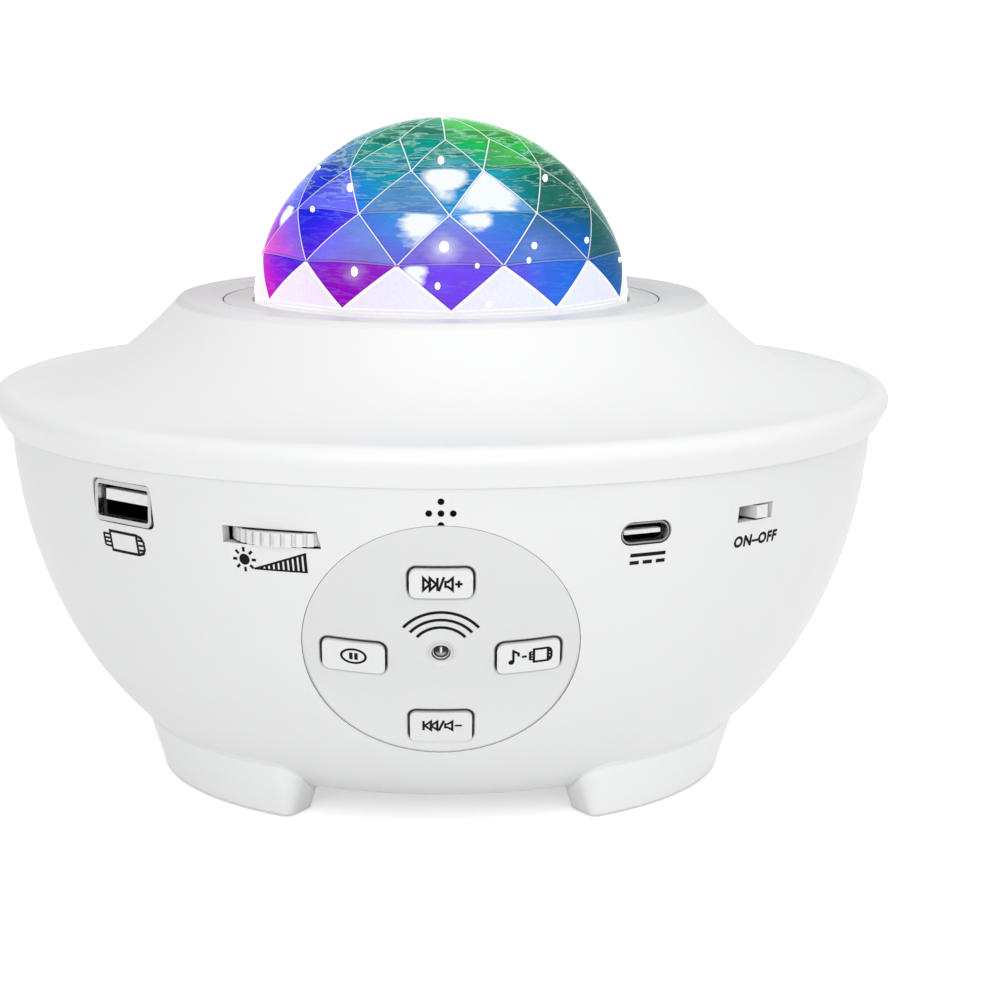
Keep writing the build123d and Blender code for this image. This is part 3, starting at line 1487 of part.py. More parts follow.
# ------------------------------------------------------------------ motor, shaft and pinion
with BuildPart() as drive_motor:
    with Locations((pinion_place[0], pinion_place[1], chassis_bottom)):
        Cylinder(motor_radius, motor_height, align=DOWN)
        Cylinder(motor_boss_radius, chassis_thickness, align=UP)
    motor_edges = drive_motor.edges().filter_by(GeomType.CIRCLE).group_by(Axis.Z)[0]
    fillet(motor_edges, motor_rounding)
    with Locations((pinion_place[0], pinion_place[1], chassis_top)):
        Cylinder(
            axle_radius + running_fit,
            chassis_thickness + motor_shaft_depth + screw_fit,
            align=DOWN,
            mode=Mode.SUBTRACT,
        )
    with Locations(*[(x, y, chassis_bottom) for x, y in motor_ears]):
        Cylinder(small_shank + screw_fit, small_length, align=DOWN, mode=Mode.SUBTRACT)
drive_motor.part.label = "drive_motor"
export_step(drive_motor.part, "parts/drive_motor.step")

with BuildPart() as motor_shaft:
    with Locations((pinion_place[0], pinion_place[1], chassis_bottom - motor_shaft_depth)):
        Cylinder(axle_radius, pinion_top + motor_shaft_depth - chassis_bottom, align=UP)
motor_shaft.part.label = "motor_shaft"
export_step(motor_shaft.part, "parts/motor_shaft.step")

with BuildPart() as motor_pinion:
    with BuildSketch(Plane.XY.offset(pinion_bottom)):
        with Locations(pinion_place[:2]):
            Polygon(*gear_points(pinion_teeth, pinion_turn), align=None)
            Circle(axle_radius, mode=Mode.SUBTRACT)
    extrude(amount=pinion_top - pinion_bottom)
motor_pinion.part.label = "motor_pinion"
export_step(motor_pinion.part, "parts/motor_pinion.step")

motor_screws = make_screws(
    [Location((x, y, chassis_top)) for x, y in motor_ears],
    small_head,
    small_head_height,
    small_shank,
    small_length,
)
motor_screws.part.label = "motor_screws"
export_step(motor_screws.part, "parts/motor_screws.step")

# ------------------------------------------------------------------ laser and its grating
with BuildPart() as laser_module:
    with Locations((laser_place[0], laser_place[1], laser_top)):
        Cylinder(laser_radius, laser_length, align=DOWN)
        Cylinder(laser_mouth_radius, laser_mouth_depth, align=DOWN, mode=Mode.SUBTRACT)
laser_module.part.label = "laser_module"
export_step(laser_module.part, "parts/laser_module.step")

with BuildPart() as laser_clamp:
    with Locations((laser_place[0], laser_place[1], chassis_bottom)):
        Cylinder(laser_clamp_radius, laser_clamp_height, align=DOWN)
        Cylinder(laser_radius, laser_clamp_height, align=DOWN, mode=Mode.SUBTRACT)
laser_clamp.part.label = "laser_clamp"
export_step(laser_clamp.part, "parts/laser_clamp.step")

with BuildPart() as grating_axle:
    with Locations((grating_place[0], grating_place[1], chassis_bottom)):
        Cylinder(axle_radius, grating_top + axle_end_play - chassis_bottom, align=UP)
    with Locations((grating_place[0], grating_place[1], chassis_top)):
        Cylinder(grating_shoulder_radius, grating_lift - axle_end_play, align=UP)
    with Locations((grating_place[0], grating_place[1], grating_top + axle_end_play)):
        Cylinder(grating_shoulder_radius, grating_cap_height, align=UP)
grating_axle.part.label = "grating_axle"
export_step(grating_axle.part, "parts/grating_axle.step")

grating_root_radius = gear_module * (grating_teeth / 2 - gear_dedendum)
with BuildPart() as grating_wheel:
    with BuildSketch(Plane.XY.offset(grating_bottom)):
        with Locations(grating_place[:2]):
            Polygon(*gear_points(grating_teeth, grating_turn_angle), align=None)
            Circle(grating_root_radius - grating_rim_width, mode=Mode.SUBTRACT)
    extrude(amount=grating_thickness)
    with BuildSketch(Plane.XY.offset(grating_bottom)):
        with Locations(grating_place[:2]):
            Circle(grating_root_radius - grating_rim_width / 2)
    extrude(amount=grating_film)
    with Locations((grating_place[0], grating_place[1], grating_bottom)):
        Cylinder(grating_hub_radius, grating_thickness, align=UP)
        Cylinder(axle_radius + running_fit, grating_thickness, align=UP, mode=Mode.SUBTRACT)
grating_wheel.part.label = "grating_wheel"
export_step(grating_wheel.part, "parts/grating_wheel.step")
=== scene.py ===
import random
from math import asin, copysign, cos, degrees, hypot, pi, radians, sin

import bmesh
import bpy
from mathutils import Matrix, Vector
from mathutils.bvhtree import BVHTree


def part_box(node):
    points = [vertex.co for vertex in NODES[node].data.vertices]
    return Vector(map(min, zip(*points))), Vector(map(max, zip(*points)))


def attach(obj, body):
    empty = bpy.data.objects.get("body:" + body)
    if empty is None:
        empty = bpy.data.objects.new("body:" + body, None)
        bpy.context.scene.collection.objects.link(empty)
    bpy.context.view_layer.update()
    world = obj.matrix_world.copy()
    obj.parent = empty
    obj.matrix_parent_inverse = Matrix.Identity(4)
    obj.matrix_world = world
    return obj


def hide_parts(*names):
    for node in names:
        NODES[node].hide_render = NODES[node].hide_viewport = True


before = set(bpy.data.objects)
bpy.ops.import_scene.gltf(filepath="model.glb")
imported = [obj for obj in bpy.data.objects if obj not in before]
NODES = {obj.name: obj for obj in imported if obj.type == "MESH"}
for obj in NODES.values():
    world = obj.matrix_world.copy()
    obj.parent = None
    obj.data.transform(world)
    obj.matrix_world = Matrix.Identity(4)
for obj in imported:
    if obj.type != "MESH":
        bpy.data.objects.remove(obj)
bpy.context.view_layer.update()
MM = 0.001
RIGHT, UP = Vector((1, 0, 0)), Vector((0, 0, 1))
BLACK, WHITE = (0.0, 0.0, 0.0, 1.0), (1.0, 1.0, 1.0, 1.0)

bl_info = {
    "name": "Star night light projector",
    "version": (1, 0, 0),
    "blender": (4, 5, 0),
    "location": "View3D > Sidebar > Projector",
    "description": "Finishes the projector's mouldings, lit dome, keys, ports and inner works",
    "category": "Object",
}

# The lamps' washes of colour on the dome: azimuth from the front, elevation, strength, colour.
LAMPS = (
    (-74, 4, 1.4, (0.95, 0.00, 0.60)),
    (-28, 4, 1.0, (0.36, 0.00, 0.62)),
    (4, 16, 1.0, (0.16, 0.05, 0.78)),
    (-56, 34, 1.1, (0.01, 0.02, 1.00)),
    (44, 14, 1.0, (0.02, 0.16, 0.80)),
    (2, 44, 1.0, (0.02, 0.38, 0.88)),
    (56, 38, 1.1, (0.00, 0.13, 0.09)),
    (-10, 66, 1.3, (0.00, 0.36, 0.24)),
    (50, 72, 1.1, (0.02, 0.66, 0.03)),
    (150, 16, 1.0, (0.04, 0.14, 0.86)),
    (-150, 14, 1.0, (0.70, 0.00, 0.64)),
    (-120, 50, 1.0, (0.02, 0.20, 0.80)),
    (130, 52, 1.0, (0.00, 0.36, 0.22)),
)
# How far a wash reaches, in mm, and how fast it fades beyond.
WASH_REACH, WASH_FADE = 9.0, 3.2
# Painted reflections: pale patches on the facets nearest these places, given by azimuth, elevation, reach
# in mm.
PAINTED_REFLECTIONS = (
    (-7, 32, 8.4), (17, 43, 10.5), (1, 46, 6.8), (24, 36, 3.2), (-8, 17, 4.6), (12, 34, 5.6),
    (-70, 32, 5.0), (4, 88, 3.6), (128, 30, 7.0), (-150, 40, 8.0),
)
# The keys' openings in the panel, in mm: their heights, and their width and corners.
KEY_OPENINGS = (
    ("next_button", 5.4), ("pause_button", 6.3), ("mode_button", 6.3), ("previous_button", 7.7))
KEY_OPENING_WIDE, KEY_OPENING_CORNER = 10.9, 1.5
# The panel's radius in mm, and how far its face leans in towards its foot, in degrees.
PANEL_RADIUS, PANEL_DROOP = 22.5, 24.2
# Where the symbols sit on the bowl: azimuth from the front, height above the floor in mm.
SYMBOL_PLACES = {
    "memory_stick_symbol": (-43.3, 51.5),
    "brightness_sun": (-24.3, 51.6),
    "brightness_wedge": (-23.1, 50.0),
    "direct_current_symbol": (25.7, 51.7),
    "on_off_letters": (42.7, 52.3),
}
# The sockets: azimuth from the front, brightness of the plating at the mouth, lowered there as painted
# shade.
SOCKETS = (("usb_a", -42.6, 0.72), ("usb_c", 25.2, 0.34))
# The studio's lamps: place, what they point at, width, height and power, in m and W.
SOFTBOXES = (
    ("top_softbox", (0.20, -0.30, 1.1), (0, 0, 0.08), 0.9, 0.9, 3.0),
    ("front_softbox", (-0.12, -1.25, 0.46), (0, 0, 0.04), 1.0, 0.6, 5.0),
    ("right_softbox", (1.1, -0.45, 0.60), (0, 0, 0.06), 0.8, 0.6, 1.3),
)
# Strength of the light from all round, and of the floor's lift to white.
ROOM_LIGHT = 0.52
# Star spots on the dome: azimuth, height above the floor in mm, size.
STAR_SPOTS = (
    (0, 113.0, 1.3), (-39, 108.2, 1.3), (-74, 110.9, 0.9), (-53, 104.1, 1.0), (-27, 94.1, 1.4),
    (1, 98.6, 1.9), (-1, 92.1, 1.1), (50, 109.7, 1.1), (31, 98.4, 1.2), (28, 96.0, 0.9),
    (55, 98.7, 1.0), (77, 94.1, 0.9), (15, 102.4, 0.9), (11, 95.4, 0.9), (14, 88.9, 1.0),
)


# ---- sizes and colours to change
def length(name, description, value, low, high):
    """A length to change in the sidebar, given in mm."""
    return bpy.props.FloatProperty(
        name=name, description=description, default=value * MM, min=low * MM, max=high * MM,
        unit="LENGTH", precision=5)


def colour(name, description, value):
    """A colour to change in the sidebar."""
    return bpy.props.FloatVectorProperty(
        name=name, description=description, subtype="COLOR", default=value, min=0, max=1)


class ProjectorSizes(bpy.types.PropertyGroup):
    dome_middle: length(
        "Dome middle", "Height of the middle of the round form that the facets follow", 83.57, 50, 120)
    dome_radius: length("Dome radius", "Radius of the round form that the facets follow", 35.08, 10, 80)
    dome_rise: length("Dome rise", "Height of the round form above its middle", 36.23, 10, 80)
    facet_fullness: bpy.props.FloatProperty(
        name="Facet fullness", description="How far each facet is domed, from flat to fully round",
        default=0.86, min=0.0, max=1.0, subtype="FACTOR")
    facet_edge: length(
        "Facet edge", "Width of the bevel along each edge of the dome's facets", 0.13, 0.02, 1)
    facet_border: length("Facet border", "Width of the darker border inside each facet", 0.17, 0.02, 1)
    base_border: length(
        "Base facet border", "Width of the white border inside the dome's lowest facets", 0.34, 0.02, 1)
    star_size: length("Star spot", "Diameter of an average star spot", 1.0, 0.2, 4)
    ink_line: length("Ink line", "Width of the printed lines", 0.40, 0.05, 1)
    ink_depth: length("Ink thickness", "Thickness of the printed ink", 0.03, 0.005, 0.2)
    lens_height: length("Camera height", "Height of the camera above the floor", 141.99, 20, 1000)
    lens_distance: length(
        "Camera distance", "Distance of the camera in front of the dome's axis", 509.5, 200, 3000)
    lens_tilt: bpy.props.FloatProperty(
        name="Camera tilt", description="Angle by which the camera looks down",
        default=0.1817, min=0.0, max=1.2, subtype="ANGLE", unit="ROTATION")


class ProjectorColours(bpy.types.PropertyGroup):
    shell: colour("Bowl", "White of the bowl and its feet", (0.88, 0.884, 0.888))
    cover: colour("Cover", "White of the saucer-shaped cover", (0.935, 0.938, 0.941))
    panel: colour("Panel", "Pale grey of the control panel", (0.80, 0.804, 0.808))
    keys: colour("Keys", "White of the keys, the wheel and the knob", (0.87, 0.874, 0.878))
    ring: colour("Ring", "Greyer white of the ring round the dome", (0.86, 0.862, 0.868))
    ink: colour("Ink", "Colour of the printed symbols", (0.004, 0.004, 0.0045))


def sizes():
    return bpy.context.scene.projector_sizes


def colours():
    return bpy.context.scene.projector_colours


# ---- finishes
class Finish:
    """A material or a world under construction, with short ways to add and join its nodes."""

    def __init__(self, name, kind="materials", output="OutputMaterial"):
        self.material = getattr(bpy.data, kind).new(name)
        self.material.use_nodes = True
        self.tree = self.material.node_tree
        self.tree.nodes.clear()
        self.output = self.add(output)

    def add(self, kind, values=(), **settings):
        node = self.tree.nodes.new("ShaderNode" + kind)
        for key, value in settings.items():
            setattr(node, key, value)
        for socket, value in dict(values).items():
            node.inputs[socket].default_value = value
        return node

    def join(self, start, end):
        self.tree.links.new(start, end)

    def coordinates(self, stretch=(1, 1, 1), spin=(0, 0, 0)):
        place = self.add("TexCoord")
        mapping = self.add("Mapping", {"Scale": stretch, "Rotation": spin})
        self.join(place.outputs["Object"], mapping.inputs["Vector"])
        return mapping.outputs["Vector"]

    def noise(self, scale, detail=4.0, roughness=0.5, distortion=0.0, where=None):
        node = self.add("TexNoise", {
            "Scale": scale, "Detail": detail, "Roughness": roughness, "Distortion": distortion})
        self.join(where or self.coordinates(), node.inputs["Vector"])
        return node.outputs["Fac"]

    def span(self, value, low, high, start=0.0, end=1.0):
        node = self.add("MapRange", {
            "From Min": start, "From Max": end, "To Min": low, "To Max": high})
        self.join(value, node.inputs["Value"])
        return node.outputs["Result"]

    def blend_colours(self, share, first, second):
        node = self.add("Mix", data_type="RGBA")
        for socket, value in ((0, share), (6, first), (7, second)):
            if isinstance(value, (tuple, float)):
                node.inputs[socket].default_value = value
            else:
                self.join(value, node.inputs[socket])
        return node.outputs[2]

    def calculate(self, operation, *values):
        node = self.add("Math", operation=operation)
        for socket, value in enumerate(values):
            if isinstance(value, (int, float)):
                node.inputs[socket].default_value = value
            else:
                self.join(value, node.inputs[socket])
        return node.outputs[0]

    def times(self, first, second):
        return self.calculate("MULTIPLY", first, second)

    def plus(self, first, second):
        return self.calculate("ADD", first, second)

    def minus(self, first, second):
        return self.calculate("SUBTRACT", first, second)

    def larger(self, first, second):
        return self.calculate("MAXIMUM", first, second)

    def reach(self, right, rise):
        """Length of a way given by its two sides."""
        return self.calculate("SQRT", self.plus(self.times(right, right), self.times(rise, rise)))

    def along(self, place, way):
        """How far a point of the surface lies past a place, along a way, in mm."""
        apart = self.add("VectorMath", operation="SUBTRACT")
        self.join(self.coordinates(), apart.inputs[0])
        apart.inputs[1].default_value = tuple(place)
        share = self.add("VectorMath", operation="DOT_PRODUCT")
        self.join(apart.outputs[0], share.inputs[0])
        share.inputs[1].default_value = tuple(way.normalized() / MM)
        return share.outputs["Value"]

    def from_axis(self):
        """How far a point of the surface lies from the projector's upright axis, in mm."""
        reach = self.add("VectorMath", operation="LENGTH")
        self.join(self.coordinates((1 / MM, 1 / MM, 0)), reach.inputs[0])
        return reach.outputs["Value"]

    def band(self, value, start, end, soft=0.05):
        """1 between start and end, 0 outside, with soft edges."""
        rise = self.span(value, 0, 1, start - soft, start + soft)
        fall = self.span(value, 1, 0, end - soft, end + soft)
        return self.times(rise, fall)

    def gap_shade(self, reach, darkest):
        """1 on open faces, falling to the darkest share down in narrow gaps."""
        node = self.add("AmbientOcclusion", samples=12)
        node.inputs["Distance"].default_value = reach * MM
        return self.span(node.outputs["AO"], darkest, 1, 0.18, 0.72)

    def darken(self, colour, share):
        node = self.add("VectorMath", operation="SCALE")
        self.join(colour, node.inputs[0])
        self.join(share, node.inputs["Scale"])
        return node.outputs[0]

    def grain(self, height, depth):
        node = self.add("Bump", {"Strength": 1.0, "Distance": depth})
        self.join(height, node.inputs["Height"])
        return node.outputs["Normal"]

    def surface(self, **links):
        """The shader, with fixed values set on its sockets and varying ones joined to them."""
        node = self.add("BsdfPrincipled")
        for name, value in links.items():
            socket = node.inputs[name.replace("_", " ")]
            if isinstance(value, (int, float, tuple)):
                socket.default_value = value
            else:
                self.join(value, socket)
        self.join(node.outputs[0], self.output.inputs["Surface"])
        return node

    def seen_rays(self):
        """1 for what is seen directly, in a reflection or through clear plastic."""
        rays = self.add("LightPath").outputs
        direct = self.larger(rays["Is Camera Ray"], rays["Is Glossy Ray"])
        return self.larger(direct, rays["Is Transmission Ray"])


def shade(colour, factor=1.0):
    return (colour[0] * factor, colour[1] * factor, colour[2] * factor, 1.0)


def grey(level):
    return (level, level, level, 1.0)


def moulded_plastic(name, colour, roughness=0.34, grain_depth=0.004, grain_scale=2600, unevenness=0.03,
                    gap_reach=0.0, painted_light=None, pale_gaps=None):
    """Injection-moulded plastic: faint clouding, fine spark-eroded grain and slow waviness.

    A gap reach in mm paints shade into narrow gaps, except where pale_gaps is 1, and a further function
    adds painted light and shade at its own places.
    """
    f = Finish(name)
    clouds = f.noise(55, 3.0, 0.55)
    tint = f.blend_colours(clouds, shade(colour, 1 - unevenness), shade(colour))
    # Painted shade in narrow gaps, kept faint where pale_gaps is 1.
    if gap_reach:
        gaps = f.gap_shade(gap_reach, 0.03)
        tint = f.darken(tint, f.larger(gaps, pale_gaps(f)) if pale_gaps else gaps)
    # Painted light and shade from the function given for them.
    if painted_light:
        tint = f.darken(tint, painted_light(f))
    height = f.plus(f.times(f.noise(38, 2.0, 0.4), 3.0), f.noise(grain_scale, 3.0, 0.6))
    f.surface(
        Base_Color=tint,
        Roughness=f.span(f.noise(140, 4.0, 0.6), roughness - 0.05, roughness + 0.06),
        Specular_IOR_Level=0.45,
        Normal=f.grain(height, grain_depth * MM),
    )
    return f.material


def textured(name, colour, texture, shades, roughness, depth, patches=None, stretch=(1, 1, 1), **fixed):
    """A finish whose roughness and grain follow one texture, and its shade that or broader patches."""
    f = Finish(name)
    grain = f.noise(*texture, where=f.coordinates(stretch))
    clouds = f.noise(*patches) if patches else grain
    f.surface(
        Base_Color=f.blend_colours(clouds, *[shade(colour, share) for share in shades]),
        Roughness=f.span(grain, *roughness),
        Normal=f.grain(grain, depth * MM),
        **fixed)
    return f.material


def sheet_metal(name, colour, roughness=0.24, stretch=(1, 1, 12), scratches=700):
    """Plated or brushed metal with fine drawn lines and a few dull patches."""
    return textured(
        name, colour, (scratches, 4.0, 0.7), (0.82, 1.0), (roughness - 0.08, roughness + 0.12), 0.004,
        (120, 3.0, 0.5), stretch, Metallic=1.0)


def clear_plastic(name, colour, roughness=0.08):
    return textured(
        name, colour, (170, 3.0, 0.5, 0.4), (0.94, 1.0), (roughness - 0.03, roughness + 0.08), 0.05,
        Transmission_Weight=0.9, IOR=1.49)


def rubber(name, colour):
    return textured(name, colour, (1800, 5.0, 0.7), (0.86, 1.0), (0.68, 0.86), 0.02, (160,))


def pressed_paper(name, colour):
    return textured(name, colour, (900, 8.0, 0.75, 1.2), (0.6, 1.3), (0.75, 0.95), 0.06)


def ink():
    return bpy.data.materials.get("printing_ink") or textured(
        "printing_ink", colours().ink, (2400, 4.0, 0.7), (1.0, 2.2), (0.62, 0.8), 0.003,
        Specular_IOR_Level=0.12)


def circuit_board(name, mask, trace):
    """Solder mask over copper tracks: the tracks show as paler, slightly raised lines."""
    f = Finish(name)
    tracks = f.add("TexBrick", {
        "Scale": 240.0, "Mortar Size": 0.012, "Mortar Smooth": 0.3, "Bias": 0.0,
        "Brick Width": 1.1, "Row Height": 0.35,
        "Color1": BLACK, "Color2": BLACK, "Mortar": WHITE})
    f.join(f.coordinates(spin=(0, 0, radians(45))), tracks.inputs["Vector"])
    speckle = f.noise(900, 4.0, 0.6)
    plain = f.blend_colours(speckle, shade(mask, 0.8), shade(mask))
    f.surface(
        Base_Color=f.blend_colours(tracks.outputs["Fac"], plain, shade(trace)),
        Roughness=f.span(speckle, 0.28, 0.42),
        Normal=f.grain(tracks.outputs["Fac"], 0.03 * MM),
    )
    return f.material


def dress(nodes, material):
    """Gives carried-over nodes their finish."""
    for node in nodes.split():
        mesh = NODES[node].data
        mesh.materials.clear()
        mesh.materials.append(material)


def surface_of(node):
    """A node's surface, to drop points on."""
    mesh = NODES[node].data
    return BVHTree.FromPolygons(
        [v.co for v in mesh.vertices], [tuple(p.vertices) for p in mesh.polygons])


def add_piece(name, bm, body, materials=(), smooth=False):
    mesh = bpy.data.meshes.new(name)
    bm.to_mesh(mesh)
    bm.free()
    if not len(mesh.polygons):
        raise RuntimeError(name + " has no faces")
    if smooth is not None:
        for polygon in mesh.polygons:
            polygon.use_smooth = smooth
    for material in materials:
        mesh.materials.append(material)
    piece = bpy.data.objects.new(name, mesh)
    bpy.context.scene.collection.objects.link(piece)
    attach(piece, body)
    return piece


# ---- the lit dome
def on_dome(azimuth, elevation):
    """A point of the dome's round form, by azimuth from the front and elevation."""
    size = sizes()
    turn, rise = radians(azimuth), radians(elevation)
    return Vector((
        size.dome_radius * cos(rise) * sin(turn),
        -size.dome_radius * cos(rise) * cos(turn),
        size.dome_middle + size.dome_rise * sin(rise)))


def rounded(point):
    """Moves a point of a flat facet out towards the round form, which gives the facet its fullness."""
    size = sizes()
    from_middle = point - UP * size.dome_middle
    flat = Vector((from_middle.x, from_middle.y, 0)).length / size.dome_radius
    reach = hypot(flat, from_middle.z / size.dome_rise)
    return point.lerp(UP * size.dome_middle + from_middle / reach, size.facet_fullness)


def lamp_light(point, pools):
    """Colour of the lamps' light at a point of the dome: near washes count for more."""
    total, colour = 0.0, Vector()
    for place, strength, lamp in pools:
        apart = (point - place).length / MM
        weight = strength / (1 + (apart / WASH_REACH) ** 2) ** WASH_FADE
        total += weight
        colour += lamp * weight
    return colour / total


def lit_facet(name, gain, whiteness, low_streaks, high_streaks, reflection_share=1.0, cloudiness=0.16):
    """Clear plastic lit from behind: the lamps' colour, clouded low down and streaked higher up, with pale
    patches of painted reflection.
    """
    f = Finish(name)
    light = f.add("Attribute", attribute_name="lamp_colour").outputs["Color"]
    reflection = f.add("Attribute", attribute_name="painted_reflection").outputs["Fac"]
    glow = f.add("Attribute", attribute_name="star_glow").outputs["Fac"]
    streakiness = f.span(f.along(Vector(), UP), low_streaks, high_streaks, 102, 113)
    ripples = f.noise(104, 5.0, 0.58, 0.05, f.coordinates((1, 1, 8), (0.14, 0.26, 0)))
    off_ridge = f.times(f.calculate("ABSOLUTE", f.minus(ripples, 0.54)), 26.0)
    line = f.times(f.larger(f.minus(1, off_ridge), 0), streakiness)
    clouds = f.noise(48, 3.0, 0.55, 0.6)
    speckle = f.noise(1500, 2.0, 0.5)
    cloudy = f.times(
        f.span(clouds, 1 - cloudiness, 1 + cloudiness, 0.3, 0.7), f.span(speckle, 0.97, 1.03, 0.3, 0.7))
    level = f.times(cloudy, f.minus(1, f.times(f.span(ripples, 0, 0.62, 0.36, 0.62), streakiness)))
    pale = f.blend_colours(whiteness, light, WHITE)
    flat = f.darken(pale, f.times(level, gain))
    streaked = f.blend_colours(f.times(line, 0.56), flat, (0.56, 1.0, 0.86, 1.0))
    # Painted reflection: pale patches with torn edges, from the stored reflection values.
    tears = f.noise(96, 4.0, 0.6, 0.3, f.coordinates((1, 1, 2.4), (0, 0.7, 0)))
    torn = f.plus(reflection, f.span(tears, -0.20, 0.20, 0.3, 0.7))
    patch = f.span(torn, 0, reflection_share, 0.40, 0.62)
    shine = f.blend_colours(patch, streaked, (0.93, 0.98, 1.0, 1.0))
    lit = f.blend_colours(glow, shine, (0.92, 0.97, 1.0, 1.0))
    f.surface(
        Base_Color=BLACK,
        Roughness=f.span(clouds, 0.10, 0.22),
        Specular_IOR_Level=0.1,
        IOR=1.12,
        Emission_Color=lit,
        Emission_Strength=1.0,
        Normal=f.grain(ripples, 0.01 * MM),
    )
    return f.material


# Corners closer than this are one, and longer edges than this are divided.
WELD, LONGEST_EDGE = 0.002 * MM, 2 * MM
# The least area of a facet in square metres, and how many facets the dome has at least.
SMALLEST_FACET, FEWEST_FACETS = 20e-6, 60
# A height inside the dome: its outer faces look away from the axis there.
INSIDE_DOME = 80 * MM
# The dome's skirt lies outside this, the bore of its flange inside.
NECK_RADIUS = 32.4 * MM
# How high the flange and the skirt reach above the dome's lowest face.
FLANGE_TOP, SKIRT_TOP = 1.6 * MM, 5.4 * MM
FACET, BASE_FACET, EDGE, LEVEL_EDGE, BASE_EDGE, BORDER, SKIRT, FLANGE = range(8)
SKIN = (FACET, BASE_FACET, EDGE, LEVEL_EDGE, BASE_EDGE, BORDER)


